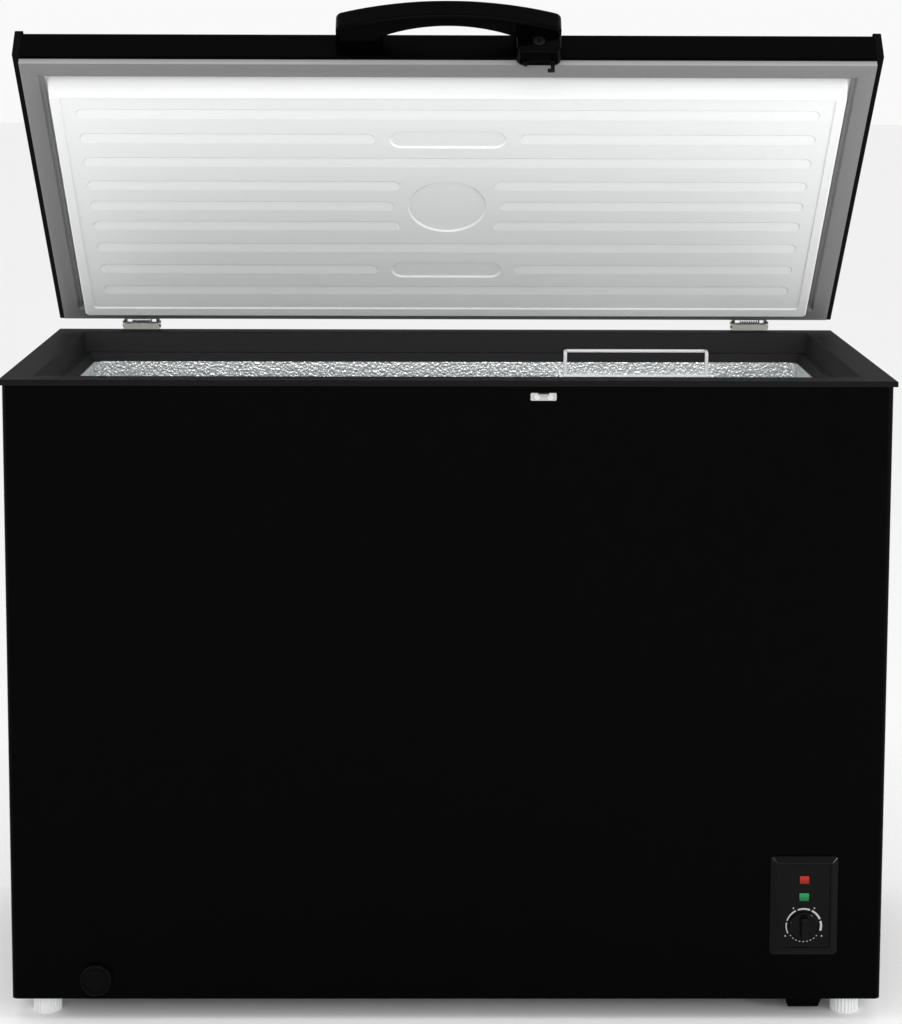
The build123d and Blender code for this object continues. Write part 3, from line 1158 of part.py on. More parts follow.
def lid_section(inset, low, high, radius):
    """The lid's section from front to rear, with rounded top edges, in the sketch being drawn."""
    middle = (low + high) / 2
    with BuildSketch(Plane.XY) as outline:
        with Locations((0, middle)):
            Rectangle(RIM_DEPTH - 2 * inset, high - low)
        fillet(outline.vertices().group_by(Axis.Y)[-1], radius)
    return outline.sketch


SKIN_END = LID_X - TRIM_WIDTH
with BuildPart() as lid_skin:
    with BuildSketch(facing_side(0)):
        add(lid_section(0, LID_UNDER, LID_TOP, LID_EDGE))
        add(lid_section(SHEET, LID_UNDER + HEM, LID_TOP - SHEET, LID_EDGE - SHEET), mode=Mode.SUBTRACT)
        with Locations((0, LID_UNDER)):
            Rectangle(RIM_DEPTH - 2 * HEM_WIDTH, 2 * HEM, mode=Mode.SUBTRACT)
    extrude(amount=SKIN_END, both=True)
    with BuildSketch(facing_front(RIM_FRONT)):
        with Locations(*HANDLE_SPOTS):
            Circle(HINGE_SCREW / 2)
    extrude(amount=-SHEET, mode=Mode.SUBTRACT)
    with BuildSketch(facing_front(RIM_REAR)):
        with Locations(*LEAF_SPOTS):
            Circle(HINGE_SCREW / 2)
    extrude(amount=SHEET, mode=Mode.SUBTRACT)
save(lid_skin, "lid_skin")

# End trims of the lid
for side, name in ((-1, "left"), (1, "right")):
    inner = side * SKIN_END
    trim_outline = [
        (side * LID_X, LID_UNDER),
        (side * LID_X, LID_TOP + TRIM_PROUD),
        (inner - side * TRIM_COVER, LID_TOP + TRIM_PROUD),
        (inner - side * TRIM_COVER, LID_TOP),
        (inner, LID_TOP),
        (inner, LID_UNDER),
    ]
    with BuildPart() as lid_trim:
        with BuildSketch(facing_front(RIM_FRONT)) as profile:
            with BuildLine():
                Polyline(*trim_outline, close=True)
            make_face()
            fillet([profile.vertices().sort_by_distance((*spot, 0))[0] for spot in trim_outline[:3]], TRIM_EDGE)
        extrude(amount=-RIM_DEPTH)
        with BuildSketch(facing_front(RIM_FRONT + HEM_WIDTH)):
            with Locations((side * (LID_X - (TRIM_WIDTH + HEM_WIDTH) / 2), LID_UNDER + HEM / 2)):
                Rectangle(HEM_WIDTH - TRIM_WIDTH, HEM)
        extrude(amount=2 * HEM_WIDTH - RIM_DEPTH)
    save(lid_trim, f"lid_trim_{name}")

# Lid liner: a formed sheet with a raised plug, and a sunk field of grooves and recesses in its face
FLANGE_LEVEL = LID_UNDER + HEM
PLUG_FACE = LID_UNDER - PLUG_DROP
FIELD_LEVEL = PLUG_FACE + FIELD_DEPTH
FACE_INSET = PLUG_INSET + PLUG_DRAFT
FIELD_WIDTH = RIM_WIDTH - 2 * (FACE_INSET + FIELD_SIDE)
FIELD_LENGTH = RIM_DEPTH - 2 * FACE_INSET - FIELD_FRONT - FIELD_REAR
GROOVE_DEEPEST = GROOVE_DEPTH + GROOVE_WIDTH / 2 * tan(radians(GROOVE_SLOPE))


def plug(inset, low, high):
    """The plug's tapered block between two heights, with its wall moved in by inset."""
    spread = PLUG_DRAFT / (FLANGE_LEVEL - PLUG_FACE)
    sections = []
    for height in (high, low):
        edge = PLUG_INSET + inset + spread * (FLANGE_LEVEL - height)
        with BuildSketch(level(height)) as section:
            RectangleRounded(RIM_WIDTH - 2 * edge, RIM_DEPTH - 2 * edge, PLUG_CORNER - inset)
        sections.append(section.sketch)
    loft(sections)


def row_place(row):
    """Place of a row of grooves behind the pattern's middle, where row 0 lies."""
    if row == 0:
        return 0
    return copysign(GROOVE_FIRST + (abs(row) - 1) * GROOVE_PITCH, row)


def groove_start(across):
    """Distance from the lid's middle at which a groove starts, clear of the recesses."""
    keep_clear = DISC_DIAMETER / 2 + RECESS_GAP
    near = max(0, abs(across) - GROOVE_WIDTH / 2)
    if abs(abs(across) - row_place(PANEL_ROW)) < PANEL_WIDTH / 2:
        return PANEL_LENGTH / 2 + RECESS_GAP
    if near < keep_clear:
        return sqrt(keep_clear ** 2 - near ** 2)
    return 0


def groove_floor(across):
    """The sloping floor of a groove, facing out of the liner."""
    slope = radians(GROOVE_SLOPE)
    middle = (0, PATTERN_SHIFT + across, FIELD_LEVEL + GROOVE_DEPTH)
    return opened(Plane(origin=middle, x_dir=(1, 0, 0), z_dir=(0, -sin(slope), -cos(slope))))


with BuildPart() as plug_space:
    plug(LID_LINER_WALL, FIELD_LEVEL + LID_LINER_WALL, FLANGE_LEVEL + LID_LINER_WALL)
with BuildPart() as lid_liner:
    plug(0, PLUG_FACE, FLANGE_LEVEL)
    fillet(faces().sort_by_distance(level(PLUG_FACE).origin)[0].edges(), PLUG_EDGE)
    with BuildSketch(level(FLANGE_LEVEL)):
        edge = PLUG_INSET - LID_LINER_FLANGE
        Rectangle(RIM_WIDTH - 2 * edge, RIM_DEPTH - 2 * edge)
    extrude(amount=LID_LINER_WALL)
    add(plug_space.part, mode=Mode.SUBTRACT)
    with BuildSketch(level(PLUG_FACE)):
        with Locations((0, (FIELD_FRONT - FIELD_REAR) / 2)):
            RectangleRounded(FIELD_WIDTH, FIELD_LENGTH, PLUG_CORNER)
    extrude(amount=FIELD_DEPTH, taper=RECESS_LEAN, mode=Mode.SUBTRACT)
    with BuildSketch(level(FIELD_LEVEL)):
        with Locations((0, PATTERN_SHIFT)):
            Circle(DISC_DIAMETER / 2)
        with Locations(*[(0, PATTERN_SHIFT + row_place(row)) for row in (-PANEL_ROW, PANEL_ROW)]):
            SlotOverall(PANEL_LENGTH, PANEL_WIDTH)
    extrude(amount=RECESS_DEPTH, taper=RECESS_LEAN, mode=Mode.SUBTRACT)
    for row in range(-GROOVE_ROWS, GROOVE_ROWS + 1):
        start = groove_start(row_place(row))
        run = GROOVE_LENGTH / 2 - start
        with BuildSketch(groove_floor(row_place(row))):
            if start:
                with Locations((-start - run / 2, 0), (start + run / 2, 0)):
                    SlotOverall(run, GROOVE_WIDTH)
            else:
                SlotOverall(GROOVE_LENGTH, GROOVE_WIDTH)
        extrude(amount=2 * GROOVE_DEEPEST, taper=-RECESS_LEAN, mode=Mode.SUBTRACT)
save(lid_liner, "lid_liner")

# Lid foam, filling the skin and the plug
with BuildPart() as lid_foam:
    with BuildSketch(facing_side(0)):
        add(lid_section(SHEET, FLANGE_LEVEL + LID_LINER_WALL, LID_TOP - SHEET, LID_EDGE - SHEET))
    extrude(amount=SKIN_END, both=True)
    add(plug_space.part)
    with BuildSketch(facing_front(RIM_FRONT + SHEET)):
        with Locations(*HANDLE_SPOTS):
            Circle(HINGE_SCREW + CLEARANCE)
    extrude(amount=-HINGE_SCREW, mode=Mode.SUBTRACT)
save(lid_foam, "lid_foam")

# Magnetic gasket with mitred corners
GASKET_HEIGHT = LID_GAP - CLEARANCE
gasket_outline = [
    (0, 0),
    (0, -GASKET_HEIGHT),
    (GASKET_CREST, -GASKET_HEIGHT),
    (GASKET_CREST + HEM, -GASKET_LIP),
    (GASKET_WIDTH, -GASKET_LIP + GASKET_EDGE),
    (GASKET_WIDTH, 0),
    (GASKET_WIDTH - HEM, 0),
    (GASKET_WIDTH - HEM, HEM),
    (HEM_WIDTH - HEM, HEM),
    (HEM_WIDTH - HEM, 0),
]
with BuildPart() as shut_gasket:
    mitred_frame(
        Plane.XY.offset(LID_UNDER), RIM_WIDTH - 2 * GASKET_SIDE, RIM_FRONT + GASKET_FRONT,
        RIM_REAR - GASKET_REAR, gasket_outline, gasket_outline[1:3], GASKET_EDGE,
    )
with BuildPart() as lid_gasket:
    add(OPENING * shut_gasket.part)
save(lid_gasket, "lid_gasket")

# Handle: a bowed grip on two feet, the right foot holding the lock
HANDLE_X = HANDLE_LENGTH / 2
ARCH_X = HANDLE_X - HANDLE_FOOT
ARCH_Y = RIM_FRONT - HANDLE_ARCH_START
END_Y = RIM_FRONT - HANDLE_END_REACH
SCREW_DEPTH = 0.6 * HANDLE_ARCH_START
BOX_DEPTH = LOCK_BOX_REACH - LOCK_BOX_GAP
BOX_LOW = LID_UNDER - LOCK_BOX_DROP
BOX_TOP = LID_UNDER + HANDLE_LOW + 1.5 * HANDLE_EDGE
LATCH_X = (PRONG_SPACING + PRONG_WIDTH) / 2
LATCH_TOP = LOCK_Z + LATCH_RISE
with BuildPart() as lock_box:
    box_middle = (LOCK_X, (BOX_LOW + BOX_TOP) / 2)
    with BuildSketch(facing_front(RIM_FRONT - LOCK_BOX_GAP)) as box_outline:
        with Locations(box_middle):
            Rectangle(LOCK_BOX_WIDTH, BOX_TOP - BOX_LOW)
        fillet(box_outline.vertices().group_by(Axis.Y)[0], LOCK_BOX_CORNER)
    extrude(amount=BOX_DEPTH)
    box_front = facing_front(RIM_FRONT - LOCK_BOX_REACH).from_local_coords((*box_middle, 0))
    fillet(faces().sort_by_distance(box_front)[0].edges(), LOCK_BOX_EDGE)
with BuildPart() as handle:
    with BuildSketch(level(LID_UNDER + HANDLE_LOW)) as plan:
        with BuildLine():
            ThreePointArc((-HANDLE_X, END_Y), (0, RIM_FRONT - HANDLE_REACH), (HANDLE_X, END_Y))
            Polyline((HANDLE_X, END_Y), (HANDLE_X, RIM_FRONT), (ARCH_X, RIM_FRONT), (ARCH_X, ARCH_Y))
            ThreePointArc((ARCH_X, ARCH_Y), (0, RIM_FRONT - HANDLE_REACH + HANDLE_GRIP), (-ARCH_X, ARCH_Y))
            Polyline((-ARCH_X, ARCH_Y), (-ARCH_X, RIM_FRONT), (-HANDLE_X, RIM_FRONT), (-HANDLE_X, END_Y))
        make_face()
        outer_corners = [plan.vertices().sort_by_distance((x, END_Y, 0))[0] for x in (-HANDLE_X, HANDLE_X)]
        fillet(outer_corners, 2 * HANDLE_EDGE)
    extrude(amount=HANDLE_TOP - HANDLE_LOW)
    lid_face = facing_front(RIM_FRONT)
    rims = faces().filter_by(Axis(lid_face.origin, level(0).z_dir))
    rim_edges = [edge for face in rims for edge in face.edges()]
    fillet([edge for edge in rim_edges if lid_face.to_local_coords(edge.center()).Z > 1], HANDLE_EDGE)
    add(lock_box.part)
    with BuildSketch(facing_front(RIM_FRONT)):
        with Locations(*HANDLE_SPOTS):
            Circle(HINGE_SCREW / 2)
    extrude(amount=SCREW_DEPTH + CLEARANCE, mode=Mode.SUBTRACT)
    with BuildSketch(facing_front(RIM_FRONT - LATCH_BACK)):
        with Locations((LOCK_X, LOCK_Z)):
            Circle(LOCK_DIAMETER / 2 + RUNNING)
    extrude(amount=LOCK_BOX_REACH, mode=Mode.SUBTRACT)
    with BuildSketch(facing_front(RIM_FRONT - LATCH_BACK + CLEARANCE)):
        cavity_low = BOX_LOW - SHEET
        with Locations((LOCK_X - LATCH_TRAVEL / 2, (cavity_low + LATCH_TOP + CLEARANCE) / 2)):
            Rectangle(2 * (LATCH_X + CLEARANCE) + LATCH_TRAVEL, LATCH_TOP + CLEARANCE - cavity_low)
    extrude(amount=LATCH_PLATE + 2 * CLEARANCE, mode=Mode.SUBTRACT)
save(handle, "handle")
with BuildPart() as handle_screws:
    inner_face = opened(Plane(origin=(0, RIM_FRONT + SHEET, 0), x_dir=(1, 0, 0), z_dir=(0, 1, 0)))
    screws(inner_face, [(x, -z) for x, z in HANDLE_SPOTS], HINGE_SCREW, SHEET + SCREW_DEPTH)
save(handle_screws, "handle_screws")

# Lock cylinder with its crank pin, and the latch that the pin slides to the left
CRANK = LATCH_TRAVEL / 2
LOCK_REAR = LATCH_BACK + LATCH_PLATE + CLEARANCE
with BuildPart() as lock_cylinder:
    with BuildSketch(facing_front(RIM_FRONT - LOCK_REAR)):
        with Locations((LOCK_X, LOCK_Z)):
            Circle(LOCK_DIAMETER / 2)
    extrude(amount=LOCK_BOX_REACH + LOCK_PROUD - LOCK_REAR)
    with BuildSketch(facing_front(RIM_FRONT - LATCH_BACK)):
        with Locations((LOCK_X + CRANK, LOCK_Z - CRANK)):
            Circle(CRANK_PIN / 2)
    extrude(amount=LATCH_PLATE + 2 * CLEARANCE)
    with BuildSketch(facing_front(RIM_FRONT - LOCK_BOX_REACH - LOCK_PROUD)):
        with Locations((LOCK_X, LOCK_Z)):
            Rectangle(KEY_SLOT / 4, KEY_SLOT)
    extrude(amount=-KEY_SLOT / 2, mode=Mode.SUBTRACT)
save(lock_cylinder, "lock_cylinder")
PLATE_LOW = BOX_LOW + SHEET
with BuildPart() as latch_hook:
    with BuildSketch(facing_front(RIM_FRONT - LATCH_BACK)):
        with Locations((LOCK_X, (PLATE_LOW + LATCH_TOP) / 2)):
            Rectangle(2 * LATCH_X, LATCH_TOP - PLATE_LOW)
        for side, drop in ((-1, PRONG_DROP), (1, HOOK_DROP)):
            tip = LID_UNDER - drop
            with Locations((LOCK_X + side * PRONG_SPACING / 2, (PLATE_LOW + tip) / 2)):
                Rectangle(PRONG_WIDTH, PLATE_LOW - tip)
        with Locations((LOCK_X + LATCH_X - (PRONG_WIDTH + BARB) / 2, LID_UNDER - HOOK_DROP + BARB_HEIGHT / 2)):
            Rectangle(PRONG_WIDTH + BARB, BARB_HEIGHT)
        slot_low = LOCK_Z - sqrt(2) * CRANK - CRANK_PIN / 2 - CLEARANCE
        with Locations((LOCK_X + CRANK, (slot_low + LATCH_TOP) / 2)):
            Rectangle(CRANK_PIN + 2 * CLEARANCE, LATCH_TOP - slot_low, mode=Mode.SUBTRACT)
    extrude(amount=LATCH_PLATE)
save(latch_hook, "latch_hook")
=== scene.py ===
"""Looks of a chest freezer with its lid open: finishes, soft edges, gasket, dial print and stage."""

import json
from math import cos, degrees, pi, radians, sin

import bmesh
import bpy
from mathutils import Euler, Matrix, Vector

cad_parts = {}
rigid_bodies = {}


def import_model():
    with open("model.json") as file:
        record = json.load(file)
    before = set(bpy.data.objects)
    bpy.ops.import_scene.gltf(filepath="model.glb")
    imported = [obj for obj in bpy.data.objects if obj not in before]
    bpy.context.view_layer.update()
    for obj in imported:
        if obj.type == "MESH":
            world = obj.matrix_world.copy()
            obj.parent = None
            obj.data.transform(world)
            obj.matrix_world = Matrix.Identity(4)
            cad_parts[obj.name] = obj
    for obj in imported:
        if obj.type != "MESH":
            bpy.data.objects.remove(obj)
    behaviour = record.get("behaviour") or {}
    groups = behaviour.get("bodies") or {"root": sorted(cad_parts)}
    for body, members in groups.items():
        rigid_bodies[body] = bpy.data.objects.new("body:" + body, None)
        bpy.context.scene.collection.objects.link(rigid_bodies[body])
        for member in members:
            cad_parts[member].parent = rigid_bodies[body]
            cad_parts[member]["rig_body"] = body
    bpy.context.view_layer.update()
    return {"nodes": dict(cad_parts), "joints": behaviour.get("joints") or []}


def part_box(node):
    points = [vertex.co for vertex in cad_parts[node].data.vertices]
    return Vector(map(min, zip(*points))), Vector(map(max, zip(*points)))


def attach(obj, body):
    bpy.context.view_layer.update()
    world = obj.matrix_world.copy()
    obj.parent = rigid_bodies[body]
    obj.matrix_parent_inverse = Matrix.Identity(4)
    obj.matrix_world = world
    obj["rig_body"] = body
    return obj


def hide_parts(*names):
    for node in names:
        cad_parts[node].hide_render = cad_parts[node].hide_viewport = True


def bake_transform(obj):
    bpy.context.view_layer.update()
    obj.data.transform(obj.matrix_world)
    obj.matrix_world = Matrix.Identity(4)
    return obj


bl_info = {
    "name": "Chest freezer looks",
    "version": (1, 0, 0),
    "blender": (4, 5, 0),
    "location": "3D View > Sidebar > Freezer",
    "description": "Dresses the packed chest freezer with finishes, fine detail and a studio stage",
    "category": "Object",
}

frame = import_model()

LID_HINGE = next(joint for joint in frame["joints"] if joint["name"] == "lid_hinge")
HINGE = Vector(LID_HINGE["pos_m"])
OPEN_ANGLE = radians(-LID_HINGE["range_deg"][0])
SHUT = Matrix.Translation(HINGE) @ Matrix.Rotation(OPEN_ANGLE, 4, "X") @ Matrix.Translation(-HINGE)
OPENED = SHUT.inverted()

SLOT_OF = {name: node.data.materials[0].name for name, node in frame["nodes"].items()}
PAINTED_LIGHT_WALL = "painted_light_wall"    # attribute that marks the gasket's outer wall, which is painted paler as painted light
NEAR = 1e-5    # points closer than this lie in one face
DOUBLE = 1e-6    # points closer than this are merged
FLAT_ANGLE = 0.4    # faces that meet at less than this become one, in degrees
SOFT_ANGLE = 22.0    # edges that turn more than this are rounded, in degrees
COLLAR_RIM = Vector((0.0375, 0.0375))    # width of the collar's smooth rim; inside it the walls are painted lighter, as painted light
PANEL_SUNK = 0.0025    # depth of the control panel's face below its frame
DIAL_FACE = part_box("control_panel")[0].y + PANEL_SUNK
RING_PARTS = (44.0, 52.0, 48.0, 46.0, 40.0)    # sweeps of the printed ring's segments, in degrees
RING_STEPS = 14    # straight pieces along one segment
ROUND_CUT = 0.3    # where a gasket's rounding passes its corner, as a share of the rounding
GASKET_CREASE = 28.0    # the gasket's edges sharper than this stay sharp, in degrees


def colour(name, text, value):
    """A colour that the user can change."""
    return bpy.props.FloatVectorProperty(
        name=name, description=text, default=value, subtype="COLOR", size=3, min=0.0, max=1.0)


def length(name, text, value):
    """A length that the user can change, in metres."""
    return bpy.props.FloatProperty(name=name, description=text, default=value, unit="LENGTH", precision=4)


def angle(name, text, value):
    """An angle that the user can change, given here in degrees."""
    return bpy.props.FloatProperty(name=name, description=text, default=radians(value), subtype="ANGLE")


def brightness(name, text, value):
    """A strength of light that the user can change."""
    return bpy.props.FloatProperty(name=name, description=text, default=value, min=0.0)


class FreezerColours(bpy.types.PropertyGroup):
    """Colours of the finishes"""

    steel: colour("Steel paint", "Baked paint of the cabinet and the lid", (0.0006, 0.0006, 0.0007))
    collar: colour("Collar", "Smooth rim of the frame round the opening", (0.0065, 0.0065, 0.007))
    # The walls' lighter colour is painted light on the same plastic as the rim.
    collar_wall_painted_light: colour("Collar walls", "Grained inner walls of the frame", (0.023, 0.023, 0.0235))
    plastic: colour("Black plastic", "Caps, trims and grille", (0.0016, 0.0016, 0.0017))
    panel: colour("Panel", "Glossy control panel and its knob", (0.0018, 0.0018, 0.0017))
    handle: colour("Handle", "Polished handle and badge", (0.0008, 0.0008, 0.0009))
    aluminium: colour("Aluminium", "Embossed sheet inside the cabinet", (0.89, 0.915, 0.915))
    lid: colour("Lid liner", "Formed sheet under the lid", (0.835, 0.838, 0.84))
    gasket: colour("Gasket", "Magnet strip and inner lip of the seal", (0.175, 0.175, 0.177))
    # The outer wall's paler colour is painted light: the whole seal is one rubber.
    gasket_wall_painted_light: colour("Gasket wall", "Outer wall of the seal", (0.32, 0.32, 0.322))
    wire: colour("Basket wire", "Coated wire of the basket", (0.84, 0.85, 0.86))
    foot: colour("Feet", "Ribbed levelling feet", (0.74, 0.745, 0.75))
    print: colour("Dial print", "Ink of the dial", (0.38, 0.38, 0.375))
    red: colour("Red lamp", "Lens of the upper lamp", (0.20, 0.006, 0.003))
    green: colour("Green lamp", "Lens of the lower lamp", (0.004, 0.12, 0.036))


class FreezerDetail(bpy.types.PropertyGroup):
    """Sizes of the fine detail"""

    panel_edge: length("Panel edge", "Rounding of the control panel's edges", 0.0006)
    panel_slope: length("Panel slope", "Width of the sloped frame round the control panel", 0.0080)
    lamp_edge: length("Lamp edge", "Rounding of the lamps' lenses", 0.0014)
    metal_edge: length("Metal edge", "Rounding of stamped and cast metal edges", 0.0004)
    gasket_height: length("Gasket height", "Gasket's foot to its magnet strip", 0.0087)
    gasket_width: length("Gasket width", "Gasket's outer edge to its inner lip", 0.0280)
    gasket_crest: length("Gasket crest", "Outer edge to the end of the magnet strip", 0.0220)
    gasket_lip: length("Gasket lip", "Height of the gasket's inner lip", 0.0045)
    gasket_round: length("Gasket rounding", "Rounding of the gasket's corners", 0.0008)
    ring_radius: length("Ring radius", "Middle of the dial's printed ring", 0.0218)
    ring_start: length("Ring start", "Width of the printed ring at its low end", 0.0012)
    ring_end: length("Ring end", "Width of the printed ring at its high end", 0.0027)
    ring_begin: angle("Ring begins", "Where the printed ring begins, clockwise from the top", 240.0)
    ring_gap: angle("Ring gap", "Gap between the printed segments", 7.0)
    ink: length("Ink", "Thickness of the print", 0.00012)
    dot_radius: length("Dots radius", "Ring on which the dots stand", 0.0262)
    dot_size: length("Dot size", "Width of a dot", 0.0018)
    dot_upper: angle("Upper dots", "Turn of the two upper dots from the top", 30.0)
    dot_lower: angle("Lower dots", "Turn of the two lower dots from the bottom", 60.0)
    tick_radius: length("Ticks radius", "Ring on which the lower ticks stand", 0.0205)
    tick_sweep: angle("Ticks sweep", "Turn from the first lower tick to the last", 104.0)
    tick_count: bpy.props.IntProperty(
        name="Ticks", description="Ticks along the lower part of the dial", default=9, min=2)
    tick_size: length("Tick size", "Length of a tick along the ring", 0.0018)
    tick_width: length("Tick width", "Width of a tick across the ring", 0.0010)


class FreezerStage(bpy.types.PropertyGroup):
    """Camera, floor and light"""

    camera_place: bpy.props.FloatVectorProperty(
        name="Camera", description="Place of the camera", default=(-0.0228, -3.4455, 1.2387),
        subtype="TRANSLATION", unit="LENGTH", size=3)
    camera_pitch: angle("Pitch", "Turn of the camera below the horizon", 6.987)
    camera_yaw: angle("Yaw", "Turn of the camera towards the right", 0.466)
    camera_roll: angle("Roll", "Turn of the picture clockwise", 0.176)
    camera_lens: bpy.props.FloatProperty(
        name="Lens", description="Focal length on a 36 mm frame", default=92.6, unit="CAMERA")
    camera_shift: bpy.props.FloatProperty(
        name="Shift", description="Vertical shift of the picture", default=-0.16)
    floor: colour("Floor", "Pale studio floor", (0.92, 0.92, 0.92))
    floor_size: length("Floor size", "Side of the floor", 60.0)
    sky: brightness("Sky", "Strength of the soft light all round", 0.95)
    key: brightness("Key", "Power of the wide lamp in front, in watts", 60.0)
    edge: brightness("Edge", "Power of each lamp at the sides, in watts", 18.0)
    glint: brightness("Glint", "Power of the small lamp at the right that catches edges, in watts", 18.0)


class Value:
    """A shader socket that takes part in sums: each operator adds a Math node."""

    def __init__(self, finish, socket):
        self.finish = finish
        self.socket = socket

    def maths(self, operation, first, second):
        return self.finish.node("ShaderNodeMath", {"operation": operation}, {0: first, 1: second})

    def __add__(self, other):
        return self.maths("ADD", self, other)

    def __radd__(self, other):
        return self.maths("ADD", other, self)

    def __sub__(self, other):
        return self.maths("SUBTRACT", self, other)

    def __rsub__(self, other):
        return self.maths("SUBTRACT", other, self)

    def __mul__(self, other):
        return self.maths("MULTIPLY", self, other)

    def __rmul__(self, other):
        return self.maths("MULTIPLY", other, self)


class Finish:
    """One procedural material on Object coordinates. Its node method adds any node."""

    def __init__(self, name, base, roughness, metallic=0.0, **sockets):
        self.material = bpy.data.materials.new("freezer_" + name)
        self.material.use_nodes = True
        self.tree = self.material.node_tree
        self.shader = self.tree.nodes["Principled BSDF"]
        self.base = (*base, 1.0)
        self.material.diffuse_color = self.base
        self.feed("Base Color", self.base)
        self.feed("Roughness", roughness)
        self.feed("Metallic", metallic)
        for socket, value in sockets.items():
            self.feed(socket.replace("_", " "), value)
        self.place = self.node("ShaderNodeTexCoord", {}, {}, "Object")

    def node(self, kind, settings, sockets, out=0):
        """Adds a node, sets it up, fills or links its sockets and gives one of its outputs."""
        node = self.tree.nodes.new(kind)
        for key, value in settings.items():
            setattr(node, key, value)
        for key, value in sockets.items():
            if isinstance(value, Value):
                self.tree.links.new(value.socket, node.inputs[key])
            else:
                node.inputs[key].default_value = value
        return Value(self, node.outputs[out])

    def feed(self, socket, value):
        """Gives a socket of the shader a constant or a value that varies."""
        if isinstance(value, Value):
            self.tree.links.new(value.socket, self.shader.inputs[socket])
        else:
            self.shader.inputs[socket].default_value = value

    def noise(self, scale, detail=2.0, stretch=None):
        """Soft noise; scale is in cycles a metre."""
        place = self.place
        if stretch:
            place = self.node("ShaderNodeVectorMath", {"operation": "MULTIPLY"}, {0: place, 1: stretch})
        return self.node("ShaderNodeTexNoise", {}, {"Vector": place, "Scale": scale, "Detail": detail})

    def cells(self, scale, feature, place=None):
        """Distance to scattered points; scale is in points a metre."""
        return self.node(
            "ShaderNodeTexVoronoi", {"feature": feature}, {"Vector": place or self.place, "Scale": scale})

    def blend(self, factor, first, second):
        """A colour between two colours; 6 and 7 are the Mix node's colours, and output 2 is theirs."""
        return self.node(
            "ShaderNodeMix", {"data_type": "RGBA"}, {0: factor, 6: first, 7: second}, 2)

    def tone(self, factor, low, high):
        """The base colour made darker or lighter by a factor."""
        shade = [tuple(min(1.0, part * scale) for part in self.base[:3]) + (1.0,) for scale in (low, high)]
        self.feed("Base Color", self.blend(factor, *shade))

    def relief(self, height, strength, depth):
        """Fine relief in the surface; depth is in metres."""
        bump = self.node(
            "ShaderNodeBump", {}, {"Strength": strength, "Distance": depth, "Height": height})
        self.feed("Normal", bump)

    def inside(self, half, soft):
        """One inside an upright box about the middle, and nothing outside it; soft is its edge's width."""
        apart = self.node("ShaderNodeVectorMath", {"operation": "ABSOLUTE"}, {0: self.place})
        part = 1.0
        for axis, limit in zip("XY", half):
            away = self.node("ShaderNodeSeparateXYZ", {}, {0: apart}, axis)
            part = self.node("ShaderNodeClamp", {}, {"Value": (limit - away) * (1.0 / soft)}) * part
        return part

    def height(self, low, high):
        """Nothing at the low height and one at the high one."""
        rise = self.node("ShaderNodeSeparateXYZ", {}, {0: self.place}, "Z")
        return (rise - low) * (1.0 / (high - low))


def colours():
    """The colours that the user has set."""
    return bpy.context.scene.freezer_colours


def painted_steel():
    paint = Finish("black_steel", colours().steel, 0.3, Specular_IOR_Level=0.022)
    haze = paint.noise(3.0, 3.0)
    paint.tone(paint.noise(40.0), 0.8, 1.2)
    paint.feed("Roughness", 0.24 + haze * 0.12)
    paint.relief(paint.noise(420.0, 1.0), 0.12, 0.0002)
    return paint


def galvanised_steel():
    steel = Finish("bare_steel", (0.50, 0.51, 0.52), 0.42, 1.0)
    spangle = steel.cells(90.0, "F1")
    steel.tone(spangle, 0.75, 1.25)
    steel.feed("Roughness", 0.34 + spangle * 0.2)
    steel.relief(steel.noise(600.0), 0.1, 0.0001)
    return steel


def moulded_collar():
    collar = Finish("collar_black", colours().collar, 0.6, Specular_IOR_Level=0.03)
    grain = collar.noise(1500.0, 3.0)
    # The inner walls are painted lighter than the rim: painted light on the walls; the grain in the factor
    # is the plastic's own.
    wall = collar.inside(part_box("collar")[1].xy - COLLAR_RIM, 0.001)
    lit_wall_colour = (*colours().collar_wall_painted_light, 1.0)
    collar.feed("Base Color", collar.blend(wall * (0.85 + grain * 0.3), collar.base, lit_wall_colour))
    collar.feed("Roughness", 0.52 + grain * 0.16)
    collar.relief(grain, 0.15, 0.0001)
    return collar


def embossed_aluminium():
    sheet = Finish("liner_aluminium", colours().aluminium, 0.28, 0.95)
    warp = sheet.node(
        "ShaderNodeTexNoise", {}, {"Vector": sheet.place, "Scale": 160.0, "Detail": 2.0}, "Color")
    moved = sheet.node(
        "ShaderNodeVectorMath", {"operation": "MULTIPLY_ADD"},
        {0: warp, 1: (0.005, 0.005, 0.005), 2: sheet.place})
    pebble = sheet.cells(310.0, "SMOOTH_F1", moved)
    fine = sheet.noise(900.0, 2.0)
    # Pebbles painted lighter in their middles and darker at their rims: painted shading of the emboss.
    sheet.tone(pebble * 1.3, 1.08, 0.84)
    sheet.feed("Roughness", 0.22 + fine * 0.14)
    sheet.relief(pebble + fine * 0.15, 0.6, 0.0009)
    return sheet


def formed_liner():
    sheet = Finish("white_liner", colours().lid, 0.36, Specular_IOR_Level=0.4)
    skin = sheet.noise(1200.0, 2.0)
    sheet.tone(sheet.noise(6.0), 0.975, 1.02)
    sheet.feed("Roughness", 0.32 + skin * 0.1)
    sheet.relief(skin, 0.05, 0.0001)
    return sheet


def cast_foam():
    foam = Finish("foam", (0.76, 0.63, 0.38), 0.9)
    pores = foam.cells(700.0, "F1")
    foam.tone(foam.noise(30.0), 0.85, 1.1)
    foam.feed("Roughness", 0.85 + pores * 0.1)
    foam.relief(pores, 0.5, 0.0006)
    return foam


def drawn_copper():
    tube = Finish("copper", (0.70, 0.33, 0.19), 0.35, 1.0)
    tarnish = tube.noise(60.0, 4.0)
    tube.feed("Base Color", tube.blend(tarnish, (0.78, 0.40, 0.25, 1.0), (0.42, 0.20, 0.12, 1.0)))
    tube.feed("Roughness", 0.22 + tarnish * 0.3)
    tube.relief(tube.noise(500.0), 0.08, 0.0001)
    return tube


